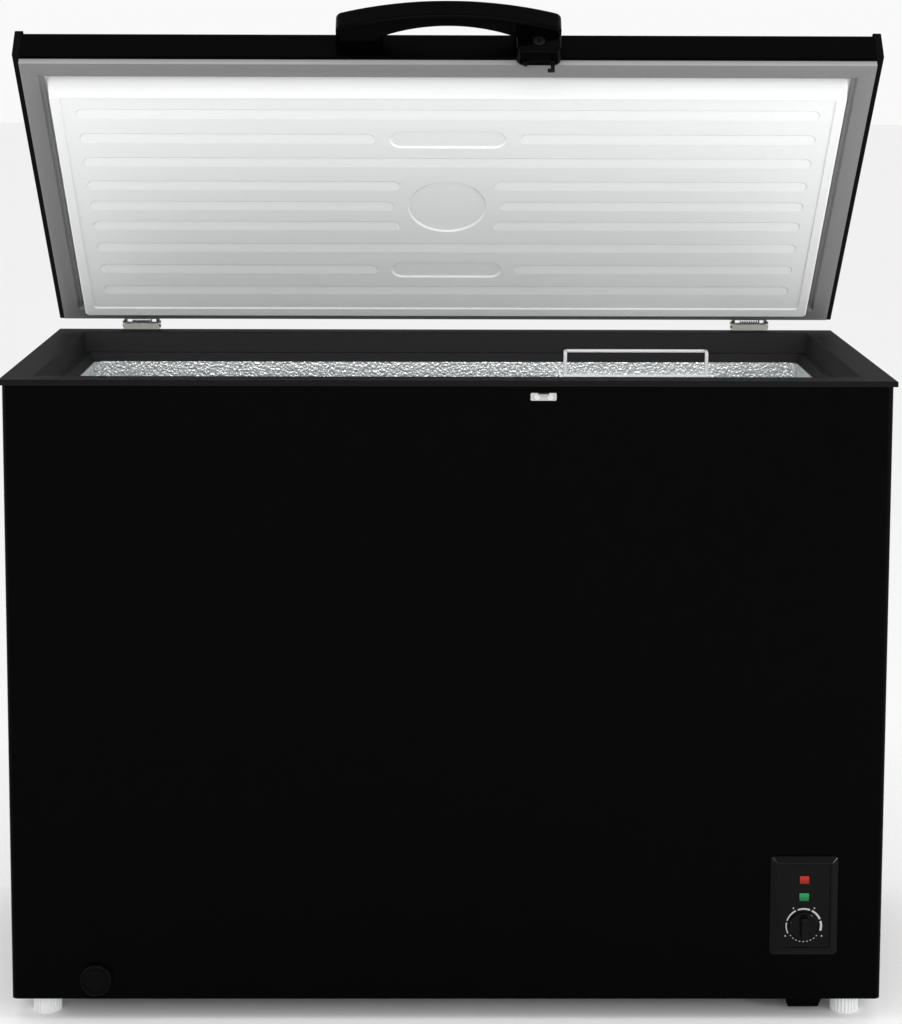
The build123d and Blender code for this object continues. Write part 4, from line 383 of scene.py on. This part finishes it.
def compressor_paint():
    paint = Finish("compressor_black", (0.010, 0.010, 0.011), 0.48)
    paint.tone(paint.noise(20.0, 3.0), 0.7, 1.5)
    paint.feed("Roughness", 0.38 + paint.noise(35.0) * 0.2)
    paint.relief(paint.noise(500.0), 0.25, 0.0002)
    return paint


def plated_zinc():
    plate = Finish("zinc", (0.42, 0.42, 0.395), 0.36, 1.0)
    cloud = plate.noise(45.0, 3.0)
    streak = plate.noise(700.0, 1.0, (0.08, 1.0, 1.0))
    plate.feed("Base Color", plate.blend(cloud, (0.36, 0.36, 0.34, 1.0), (0.45, 0.445, 0.415, 1.0)))
    plate.feed("Roughness", 0.3 + streak * 0.2)
    plate.relief(streak, 0.06, 0.0001)
    return plate


def blackened_steel():
    steel = Finish("dark_steel", (0.0035, 0.0035, 0.0038), 0.34, Specular_IOR_Level=0.15)
    bloom = steel.noise(80.0, 3.0)
    steel.tone(bloom, 0.8, 1.4)
    steel.feed("Roughness", 0.28 + bloom * 0.16)
    steel.relief(steel.noise(900.0), 0.1, 0.00008)
    return steel


def bright_steel():
    steel = Finish("screws", (0.60, 0.61, 0.62), 0.28, 1.0)
    steel.tone(steel.noise(120.0), 0.85, 1.1)
    steel.feed("Roughness", 0.2 + steel.noise(400.0) * 0.2)
    steel.relief(steel.noise(900.0), 0.08, 0.00008)
    return steel


def soft_rubber():
    rubber = Finish("black_rubber", (0.014, 0.014, 0.014), 0.75)
    bloom = rubber.noise(70.0, 3.0)
    rubber.tone(bloom, 0.8, 1.6)
    rubber.feed("Roughness", 0.66 + bloom * 0.2)
    rubber.relief(rubber.noise(1400.0), 0.15, 0.0001)
    return rubber


def seal_grey():
    seal = Finish("grey_gasket", colours().gasket, 0.5, Specular_IOR_Level=0.3)
    bloom = seal.noise(30.0, 3.0)
    # The outer wall is painted paler than the crest and lip: painted light on one rubber; the bloom is the
    # rubber's own uneven tone.
    wall = seal.node("ShaderNodeAttribute", {"attribute_name": PAINTED_LIGHT_WALL}, {}, "Fac")
    pale = (*colours().gasket_wall_painted_light, 1.0)
    seal.feed("Base Color", seal.blend(bloom * 0.06 + wall * 0.94, seal.base, pale))
    seal.feed("Roughness", 0.44 + bloom * 0.14)
    seal.relief(seal.noise(1600.0), 0.06, 0.00008)
    return seal


def moulded_plastic():
    plastic = Finish("black_plastic", colours().plastic, 0.3, Specular_IOR_Level=0.035)
    grain = plastic.noise(2200.0, 2.0)
    plastic.tone(plastic.noise(40.0), 0.85, 1.15)
    plastic.feed("Roughness", 0.22 + grain * 0.12)
    plastic.relief(grain, 0.06, 0.00008)
    return plastic


def panel_plastic():
    panel = Finish("panel_gloss", colours().panel, 0.1, Specular_IOR_Level=0.09)
    grain = panel.noise(2200.0, 2.0)
    panel.tone(panel.noise(40.0), 0.85, 1.15)
    panel.feed("Roughness", 0.07 + grain * 0.05)
    panel.relief(grain, 0.03, 0.00008)
    return panel


def polished_plastic():
    gloss = Finish("gloss_black", colours().handle, 0.14, Specular_IOR_Level=0.025)
    gloss.tone(gloss.noise(60.0), 0.9, 1.1)
    gloss.feed("Roughness", 0.08 + gloss.noise(25.0, 3.0) * 0.1)
    gloss.relief(gloss.noise(300.0, 1.0), 0.04, 0.0001)
    return gloss


def coated_wire():
    coat = Finish("white_wire", colours().wire, 0.3, Coat_Weight=0.3)
    coat.tone(coat.noise(50.0), 0.95, 1.03)
    coat.feed("Roughness", 0.24 + coat.noise(300.0) * 0.14)
    coat.relief(coat.noise(500.0, 1.0), 0.12, 0.0002)
    return coat


def foot_plastic():
    foot = Finish("foot_white", colours().foot, 0.48)
    foot.tone(foot.noise(40.0, 3.0), 0.93, 1.05)
    foot.feed("Roughness", 0.42 + foot.noise(300.0) * 0.14)
    foot.relief(foot.noise(1200.0), 0.1, 0.0001)
    return foot


def pipe_plastic():
    pipe = Finish("pipe_white", (0.74, 0.74, 0.72), 0.45)
    pipe.tone(pipe.noise(30.0), 0.94, 1.04)
    pipe.feed("Roughness", 0.4 + pipe.noise(200.0) * 0.1)
    pipe.relief(pipe.noise(800.0), 0.06, 0.0001)
    return pipe


def lamp_lens(node, tint):
    low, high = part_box(node)
    lens = Finish(SLOT_OF[node], tint, 0.12, Specular_IOR_Level=0.25)
    facets = lens.cells(900.0, "F1")
    # Painted shade at the bottom of the lens and painted highlight at its top; the facets are the lens's
    # own pattern.
    lens.tone(lens.height(low.z, high.z) + facets * 0.2, 0.3, 1.9)
    lens.feed("Roughness", 0.1 + facets * 0.1)
    lens.relief(facets, 0.2, 0.0003)
    return lens


def dial_ink():
    ink = Finish("dial_print", colours().print, 0.55)
    ink.tone(ink.noise(2000.0), 0.92, 1.05)
    ink.feed("Roughness", 0.5 + ink.noise(900.0) * 0.1)
    return ink


FINISHES = {
    "black_steel": painted_steel,
    "bare_steel": galvanised_steel,
    "collar_black": moulded_collar,
    "liner_aluminium": embossed_aluminium,
    "white_liner": formed_liner,
    "foam": cast_foam,
    "copper": drawn_copper,
    "compressor_black": compressor_paint,
    "zinc": plated_zinc,
    "dark_steel": blackened_steel,
    "screws": bright_steel,
    "black_rubber": soft_rubber,
    "grey_gasket": seal_grey,
    "black_plastic": moulded_plastic,
    "gloss_black": polished_plastic,
    "white_wire": coated_wire,
    "foot_white": foot_plastic,
    "pipe_white": pipe_plastic,
    "lamp_red": lambda: lamp_lens("red_lamp", colours().red),
    "lamp_green": lambda: lamp_lens("green_lamp", colours().green),
    "panel_gloss": panel_plastic,
    "dial_print": dial_ink,
}
MADE = {}


def finish(slot):
    """The material of a slot, made once."""
    if slot not in MADE:
        MADE[slot] = FINISHES[slot]().material
    return MADE[slot]


def dress(*nodes, look=None):
    """Gives CAD nodes the finish of their slots, or another one."""
    for name in nodes:
        frame["nodes"][name].material_slots[0].material = finish(look or SLOT_OF[name])


def add_piece(name, mesh, slot, body=None, replaces=(), look=None):
    """Puts a finished mesh in the scene, with its finish and the body that it rides on."""
    piece = bpy.data.objects.new(name, mesh)
    bpy.context.scene.collection.objects.link(piece)
    mesh.materials.clear()
    mesh.materials.append(finish(look or slot))
    if body:
        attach(piece, body)
    if replaces:
        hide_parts(*replaces)
    return piece


def body_of(node):
    """The body that a CAD node belongs to."""
    return frame["nodes"][node]["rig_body"]


def merged(node, sharp=30.0):
    """A copy of a CAD node's mesh with its doubles merged and its round faces smooth."""
    mesh = frame["nodes"][node].data.copy()
    if "custom_normal" in mesh.attributes:
        mesh.attributes.remove(mesh.attributes["custom_normal"])
    work = bmesh.new()
    work.from_mesh(mesh)
    bmesh.ops.remove_doubles(work, verts=work.verts, dist=DOUBLE)
    bmesh.ops.dissolve_limit(
        work, angle_limit=radians(FLAT_ANGLE), verts=work.verts, edges=work.edges,
        use_dissolve_boundaries=False)
    work.to_mesh(mesh)
    work.free()
    mesh.shade_smooth()
    mesh.set_sharp_from_angle(angle=radians(sharp))
    return mesh


def plain_mesh(piece):
    """The evaluated mesh of an object, with its modifiers worked in."""
    graph = bpy.context.evaluated_depsgraph_get()
    return bpy.data.meshes.new_from_object(piece.evaluated_get(graph), depsgraph=graph)


def shut_box(node):
    """The lowest and highest corners of a piece of the lid, with the lid shut."""
    spots = [SHUT @ point.co for point in frame["nodes"][node].data.vertices]
    return (Vector(min(spot[axis] for spot in spots) for axis in range(3)),
            Vector(max(spot[axis] for spot in spots) for axis in range(3)))


def softened(node, width, segments=2, shaped=None, look=None):
    """Stands a copy with rounded edges in for a CAD node; shaped is a copy already changed."""
    helper = bpy.data.objects.new("helper", shaped or merged(node))
    bpy.context.scene.collection.objects.link(helper)
    edge = helper.modifiers.new("edge", "BEVEL")
    edge.width = width
    edge.segments = segments
    edge.limit_method = "ANGLE"
    edge.angle_limit = radians(SOFT_ANGLE)
    edge.use_clamp_overlap = True
    flat = helper.modifiers.new("flat", "WEIGHTED_NORMAL")
    flat.keep_sharp = True
    mesh = plain_mesh(helper)
    bpy.data.objects.remove(helper)
    add_piece(node + "_finish", mesh, SLOT_OF[node], body_of(node), (node,), look)


class PieceOperator:
    """What the operators of the pieces share"""

    bl_options = {"REGISTER", "UNDO"}

    def execute(self, context):
        self.make(context.scene.freezer_detail)
        return {"FINISHED"}


class FREEZER_OT_cabinet(PieceOperator, bpy.types.Operator):
    """Paints the cabinet's skins and finishes its collar, floor and foam"""

    bl_idname = "freezer.cabinet"
    bl_label = "Cabinet"

    def make(self, sizes):
        dress("outer_wrap", "rear_panel", "floor_panel", "foam_insulation", "collar", "foot_sockets")


class FREEZER_OT_liner(PieceOperator, bpy.types.Operator):
    """Embosses the aluminium liner and finishes the drain"""

    bl_idname = "freezer.liner"
    bl_label = "Liner and drain"

    def make(self, sizes):
        dress("inner_liner", "drain_pipe", "drain_plug", "drain_cap")


class FREEZER_OT_lid(PieceOperator, bpy.types.Operator):
    """Paints the lid's skin and finishes its trims and its pressed liner"""

    bl_idname = "freezer.lid"
    bl_label = "Lid"

    def make(self, sizes):
        dress("lid_skin", "lid_trim_left", "lid_trim_right", "lid_foam", "lid_liner")


class FREEZER_OT_gasket(PieceOperator, bpy.types.Operator):
    """Draws the gasket's section round the lid, mitred at its corners"""

    bl_idname = "freezer.gasket"
    bl_label = "Gasket"

    def make(self, sizes):
        section = self.section(sizes)
        low, high = shut_box("lid_gasket")
        foot = low.z + sizes.gasket_height
        work = bmesh.new()
        rings = []
        for corner, inwards in (
            ((low.x, low.y), (1.0, 1.0)), ((high.x, low.y), (-1.0, 1.0)),
            ((high.x, high.y), (-1.0, -1.0)), ((low.x, high.y), (1.0, -1.0)),
        ):
            rings.append([
                work.verts.new(OPENED @ Vector((
                    corner[0] + inwards[0] * across, corner[1] + inwards[1] * across, foot - down)))
                for across, down in section])
        walls = []
        for first, second in zip(rings, rings[1:] + rings[:1]):
            for spot in range(len(section)):
                after = (spot + 1) % len(section)
                work.faces.new((first[spot], first[after], second[after], second[spot]))
                # Outer-wall faces get one, for the painted light that seal_grey puts on them.
                walls.append(1.0 if section[spot][0] == section[after][0] == 0.0 else 0.0)
        bmesh.ops.recalc_face_normals(work, faces=work.faces)
        mesh = bpy.data.meshes.new("gasket")
        work.to_mesh(mesh)
        work.free()
        mesh.attributes.new(PAINTED_LIGHT_WALL, "FLOAT", "FACE").data.foreach_set("value", walls)
        mesh.shade_smooth()
        mesh.set_sharp_from_angle(angle=radians(GASKET_CREASE))
        add_piece("lid_gasket_finish", mesh, SLOT_OF["lid_gasket"], body_of("lid_gasket"), ("lid_gasket",))

    def section(self, sizes):
        """The gasket's section: distance from its outer edge, and depth below the lid."""
        edge, top, lip = sizes.gasket_round, sizes.gasket_height, sizes.gasket_lip
        crest, width = sizes.gasket_crest, sizes.gasket_width
        cut = ROUND_CUT * edge
        return [
            (0.0, 0.0), (0.0, top - edge), (cut, top - cut), (edge, top),
            (crest - edge, top), (crest - cut, top - cut), (crest, top - edge),
            (crest + edge, lip + edge), (crest + 2 * edge, lip), (width - edge, lip), (width, lip - edge),
            (width, 0.0)]


class FREEZER_OT_handle(PieceOperator, bpy.types.Operator):
    """Polishes the handle and finishes the lock, the latch and the striker"""

    bl_idname = "freezer.handle"
    bl_label = "Handle and lock"

    def make(self, sizes):
        dress("handle", "handle_screws", "striker_screws")
        for node in ("lock_cylinder", "latch_hook", "striker_plate"):
            softened(node, sizes.metal_edge)


class FREEZER_OT_hinges(PieceOperator, bpy.types.Operator):
    """Finishes the hinges and stands smooth copies, fixed to no body, in for their springs between cabinet
    and lid
    """

    bl_idname = "freezer.hinges"
    bl_label = "Hinges"

    def make(self, sizes):
        dress("hinge_pin_left", "hinge_pin_right", "hinge_screws", "leaf_screws")
        for side in ("left", "right"):
            softened("hinge_bracket_" + side, sizes.metal_edge)
            softened("hinge_leaf_" + side, sizes.metal_edge)
            node = "hinge_spring_" + side
            spring = add_piece(node + "_finish", merged(node, sharp=50.0), SLOT_OF[node])
            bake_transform(spring)
            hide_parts(node)


class FREEZER_OT_panel(PieceOperator, bpy.types.Operator):
    """Finishes the control panel, its knob and lamps"""

    bl_idname = "freezer.panel"
    bl_label = "Control panel"

    def make(self, sizes):
        dress("thermostat_body", "badge_plate")
        dress("thermostat_knob", look="panel_gloss")
        softened("red_lamp", sizes.lamp_edge, segments=3)
        softened("green_lamp", sizes.lamp_edge, segments=3)
        softened("control_panel", sizes.panel_edge, shaped=self.sloped_frame(sizes.panel_slope),
                 look="panel_gloss")

    def sloped_frame(self, slope):
        """A copy of the panel whose narrow bevel is widened to a sloped frame."""
        mesh = merged("control_panel")
        low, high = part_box("control_panel")
        middle, half = (low + high) / 2, (high - low) / 2
        points = [point.co for point in mesh.vertices]
        insets = [min(half.x - abs(spot.x - middle.x), half.z - abs(spot.z - middle.z)) for spot in points]
        bevel = min(inset for spot, inset in zip(points, insets) if spot.y < low.y + NEAR)
        for spot, inset in zip(points, insets):
            depth = spot.y - low.y
            if depth < bevel and inset < bevel + slope / 4:    # leaves the sunk face's walls alone
                shift = (slope - bevel) * (1.0 - depth / bevel)
                spot.x += (middle.x - spot.x) * shift / (half.x - bevel)
                spot.z += (middle.z - spot.z) * shift / (half.z - bevel)
        return mesh


def marks_tree(shape):
    """Geometry nodes that stand marks along an arc: ticks or dots."""
    tree = bpy.data.node_groups.new("dial_" + shape, "GeometryNodeTree")
    face = tree.interface
    face.new_socket("Geometry", in_out="OUTPUT", socket_type="NodeSocketGeometry")
    for name, kind in (
        ("Count", "NodeSocketInt"), ("Radius", "NodeSocketFloat"), ("Start", "NodeSocketFloat"),
        ("Sweep", "NodeSocketFloat"), ("Mark", "NodeSocketVector"), ("Middle", "NodeSocketVector"),
        ("Ink", "NodeSocketMaterial"),
    ):
        face.new_socket(name, in_out="INPUT", socket_type=kind)
    nodes, links = tree.nodes, tree.links
    given = nodes.new("NodeGroupInput")
    result = nodes.new("NodeGroupOutput")
    arc = nodes.new("GeometryNodeCurveArc")
    spots = nodes.new("GeometryNodeCurveToPoints")
    spots.mode = "EVALUATED"
    stand = nodes.new("GeometryNodeInstanceOnPoints")
    mark = nodes.new("GeometryNodeMeshCube" if shape == "ticks" else "GeometryNodeMeshCylinder")
    fit = nodes.new("GeometryNodeTransform")
    whole = nodes.new("GeometryNodeRealizeInstances")
    move = nodes.new("GeometryNodeTransform")
    ink = nodes.new("GeometryNodeSetMaterial")
    move.inputs["Rotation"].default_value = (pi / 2, 0.0, 0.0)
    if shape == "dots":
        mark.inputs["Vertices"].default_value = 16
        mark.inputs["Radius"].default_value = 0.5
        mark.inputs["Depth"].default_value = 1.0
    for source, out, target, into in (
        (given, "Count", arc, "Resolution"),
        (given, "Radius", arc, "Radius"),
        (given, "Start", arc, "Start Angle"),
        (given, "Sweep", arc, "Sweep Angle"),
        (arc, "Curve", spots, "Curve"),
        (spots, "Points", stand, "Points"),
        (mark, "Mesh", fit, "Geometry"),
        (given, "Mark", fit, "Scale"),
        (fit, "Geometry", stand, "Instance"),
        (stand, "Instances", whole, "Geometry"),
        (whole, "Geometry", move, "Geometry"),
        (given, "Middle", move, "Translation"),
        (move, "Geometry", ink, "Geometry"),
        (given, "Ink", ink, "Material"),
        (ink, "Geometry", result, "Geometry"),
    ):
        links.new(source.outputs[out], target.inputs[into])
    if shape == "ticks":
        links.new(spots.outputs["Rotation"], stand.inputs["Rotation"])
    return tree


def grown(tree, name, values):
    """The plain mesh that a tree of geometry nodes makes from its named inputs."""
    helper = bpy.data.objects.new(name, bpy.data.meshes.new(name))
    bpy.context.scene.collection.objects.link(helper)
    maker = helper.modifiers.new(name, "NODES")
    maker.node_group = tree
    for socket in tree.interface.items_tree:
        if socket.in_out == "INPUT":
            maker[socket.identifier] = values[socket.name]
    mesh = plain_mesh(helper)
    bpy.data.objects.remove(helper)
    return mesh


class FREEZER_OT_dial(PieceOperator, bpy.types.Operator):
    """Prints the thermostat's ring, dots and ticks on the control panel"""

    bl_idname = "freezer.dial"
    bl_label = "Dial print"

    def make(self, sizes):
        low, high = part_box("thermostat_knob")
        middle = Vector(((low.x + high.x) / 2, DIAL_FACE - sizes.ink / 2, (low.z + high.z) / 2))
        self.print_on("dial_ring", self.ring(sizes, middle))
        dots = marks_tree("dots")
        dot = (sizes.dot_size, sizes.dot_size, sizes.ink)
        for name, middle_turn, half_turn in (
            ("dial_dots_upper", pi / 2, sizes.dot_upper), ("dial_dots_lower", 3 * pi / 2, sizes.dot_lower),
        ):
            self.print_on(name, grown(dots, name, {
                "Count": 2, "Radius": sizes.dot_radius,
                "Start": middle_turn - half_turn, "Sweep": 2 * half_turn,
                "Mark": dot, "Middle": middle, "Ink": finish("dial_print")}))
        tick = (sizes.tick_width, sizes.ink, sizes.tick_size)
        self.print_on("dial_ticks", grown(marks_tree("ticks"), "dial_ticks", {
            "Count": sizes.tick_count, "Radius": sizes.tick_radius,
            "Start": (3 * pi - sizes.tick_sweep) / 2, "Sweep": sizes.tick_sweep,
            "Mark": tick, "Middle": middle, "Ink": finish("dial_print")}))

    def print_on(self, name, mesh):
        """Puts a printed mark on the cabinet."""
        add_piece(name, mesh, "dial_print", "cabinet")

    def ring(self, sizes, middle):
        """The broken ring that widens from its low end to its high end."""
        work = bmesh.new()
        begin = degrees(sizes.ring_begin)
        half_gap = degrees(sizes.ring_gap) / 2
        thick = Vector((0.0, sizes.ink / 2, 0.0))
        passed = 0.0
        for sweep in RING_PARTS:
            start, end = begin + passed + half_gap, begin + passed + sweep - half_gap
            passed += sweep
            rows = []
            for step in range(RING_STEPS + 1):
                turn = start + (end - start) * step / RING_STEPS
                part = (turn - begin) / sum(RING_PARTS)
                half = (sizes.ring_start + (sizes.ring_end - sizes.ring_start) * part) / 2
                way = Vector((sin(radians(turn)), 0.0, cos(radians(turn))))
                rim = [middle + way * (sizes.ring_radius + side) + lift
                       for side, lift in ((-half, -thick), (half, -thick), (half, thick), (-half, thick))]
                rows.append([work.verts.new(point) for point in rim])
            for first, second in zip(rows, rows[1:]):
                for spot in range(4):
                    after = (spot + 1) % 4
                    work.faces.new((first[spot], first[after], second[after], second[spot]))
            work.faces.new(reversed(rows[0]))
            work.faces.new(rows[-1])
        bmesh.ops.recalc_face_normals(work, faces=work.faces)
        mesh = bpy.data.meshes.new("dial_ring")
        work.to_mesh(mesh)
        work.free()
        return mesh


class FREEZER_OT_basket(PieceOperator, bpy.types.Operator):
    """Coats the wire basket"""

    bl_idname = "freezer.basket"
    bl_label = "Basket"

    def make(self, sizes):
        dress("basket")


class FREEZER_OT_feet(PieceOperator, bpy.types.Operator):
    """Finishes the four ribbed feet"""

    bl_idname = "freezer.feet"
    bl_label = "Feet"

    def make(self, sizes):
        dress("foot_front_left", "foot_front_right", "foot_rear_left", "foot_rear_right")


class FREEZER_OT_machinery(PieceOperator, bpy.types.Operator):
    """Finishes the compressor, the tubes and the grille of the bay"""

    bl_idname = "freezer.machinery"
    bl_label = "Machinery"

    def make(self, sizes):
        dress("condenser_tube", "evaporator_tube", "capillary_tube", "filter_drier", "compressor_tray",
              "compressor_shell", "compressor_pump", "compressor_grommets", "compressor_bolts",
              "start_relay_box", "rear_grille", "grille_screws", "cord_inlet")


class FREEZER_OT_stage(bpy.types.Operator):
    """Sets the camera, the pale floor and the soft light"""

    bl_idname = "freezer.stage"
    bl_label = "Stage"
    bl_options = {"REGISTER", "UNDO"}

    def execute(self, context):
        scene = context.scene
        stage = scene.freezer_stage
        self.add_camera(scene, stage)
        self.add_floor(scene, stage)
        self.add_light(scene, stage)
        scene.view_settings.view_transform = "Standard"
        return {"FINISHED"}

    def add_camera(self, scene, stage):
        lens = bpy.data.cameras.new("camera")
        lens.sensor_width = 36.0
        lens.lens = stage.camera_lens
        lens.shift_y = stage.camera_shift
        lens.clip_end = 200.0
        camera = bpy.data.objects.new("camera", lens)
        camera.location = stage.camera_place
        turn = Euler((pi / 2 - stage.camera_pitch, 0.0, -stage.camera_yaw)).to_matrix()
        camera.rotation_euler = (turn @ Matrix.Rotation(stage.camera_roll, 3, "Z")).to_euler()
        scene.collection.objects.link(camera)
        scene.camera = camera

    def add_floor(self, scene, stage):
        half = stage.floor_size / 2
        mesh = bpy.data.meshes.new("floor")
        mesh.from_pydata([(-half, -half, 0.0), (half, -half, 0.0), (half, half, 0.0), (-half, half, 0.0)],
                         [], [(0, 1, 2, 3)])
        floor = bpy.data.objects.new("floor", mesh)
        scene.collection.objects.link(floor)
        pale = Finish("floor", stage.floor, 0.8, Specular_IOR_Level=0.1)
        pale.tone(pale.noise(0.7), 0.99, 1.01)
        mesh.materials.append(pale.material)

    def add_light(self, scene, stage):
        world = scene.world or bpy.data.worlds.new("world")
        scene.world = world
        world.use_nodes = True
        sky = world.node_tree.nodes["Background"]
        sky.inputs["Color"].default_value = (1.0, 1.0, 1.0, 1.0)
        sky.inputs["Strength"].default_value = stage.sky
        aim = Vector((0.0, 0.0, 0.7))
        for name, place, size, power in (
            ("key", (0.0, -4.6, 1.9), (4.0, 1.6), stage.key),
            ("glint", (2.45, -2.45, 0.82), (0.16, 0.5), stage.glint),
            ("edge_left", (-2.8, -0.9, 1.3), (0.25, 2.4), stage.edge),
            ("edge_right", (2.8, -0.9, 1.3), (0.25, 2.4), stage.edge),
        ):
            lamp = bpy.data.lights.new(name, "AREA")
            lamp.shape = "RECTANGLE"
            lamp.size, lamp.size_y = size
            lamp.energy = power
            light = bpy.data.objects.new(name, lamp)
            light.location = place
            light.rotation_euler = (aim - Vector(place)).to_track_quat("-Z", "Y").to_euler()
            scene.collection.objects.link(light)


OPERATORS = (
    FREEZER_OT_cabinet,
    FREEZER_OT_liner,
    FREEZER_OT_lid,
    FREEZER_OT_gasket,
    FREEZER_OT_handle,
    FREEZER_OT_hinges,
    FREEZER_OT_panel,
    FREEZER_OT_dial,
    FREEZER_OT_basket,
    FREEZER_OT_feet,
    FREEZER_OT_machinery,
    FREEZER_OT_stage,
)
SETTINGS = {
    "freezer_colours": FreezerColours,
    "freezer_detail": FreezerDetail,
    "freezer_stage": FreezerStage,
}


class FREEZER_PT_looks(bpy.types.Panel):
    """Lists the freezer's pieces and settings"""

    bl_idname = "FREEZER_PT_looks"
    bl_label = "Chest freezer"
    bl_space_type = "VIEW_3D"
    bl_region_type = "UI"
    bl_category = "Freezer"

    def draw(self, context):
        for operator in OPERATORS:
            self.layout.operator(operator.bl_idname)
        for name, group in SETTINGS.items():
            box = self.layout.box()
            for entry in group.__annotations__:
                box.prop(getattr(context.scene, name), entry)


def register():
    for group in (*SETTINGS.values(), *OPERATORS, FREEZER_PT_looks):
        bpy.utils.register_class(group)
    for name, group in SETTINGS.items():
        setattr(bpy.types.Scene, name, bpy.props.PointerProperty(type=group))


def unregister():
    for name in SETTINGS:
        delattr(bpy.types.Scene, name)
    for group in reversed((*SETTINGS.values(), *OPERATORS, FREEZER_PT_looks)):
        bpy.utils.unregister_class(group)


def main():
    register()
    bpy.ops.freezer.cabinet()
    bpy.ops.freezer.liner()
    bpy.ops.freezer.lid()
    bpy.ops.freezer.gasket()
    bpy.ops.freezer.handle()
    bpy.ops.freezer.hinges()
    bpy.ops.freezer.panel()
    bpy.ops.freezer.dial()
    bpy.ops.freezer.basket()
    bpy.ops.freezer.feet()
    bpy.ops.freezer.machinery()
    bpy.ops.freezer.stage()


if __name__ == "__main__":
    main()
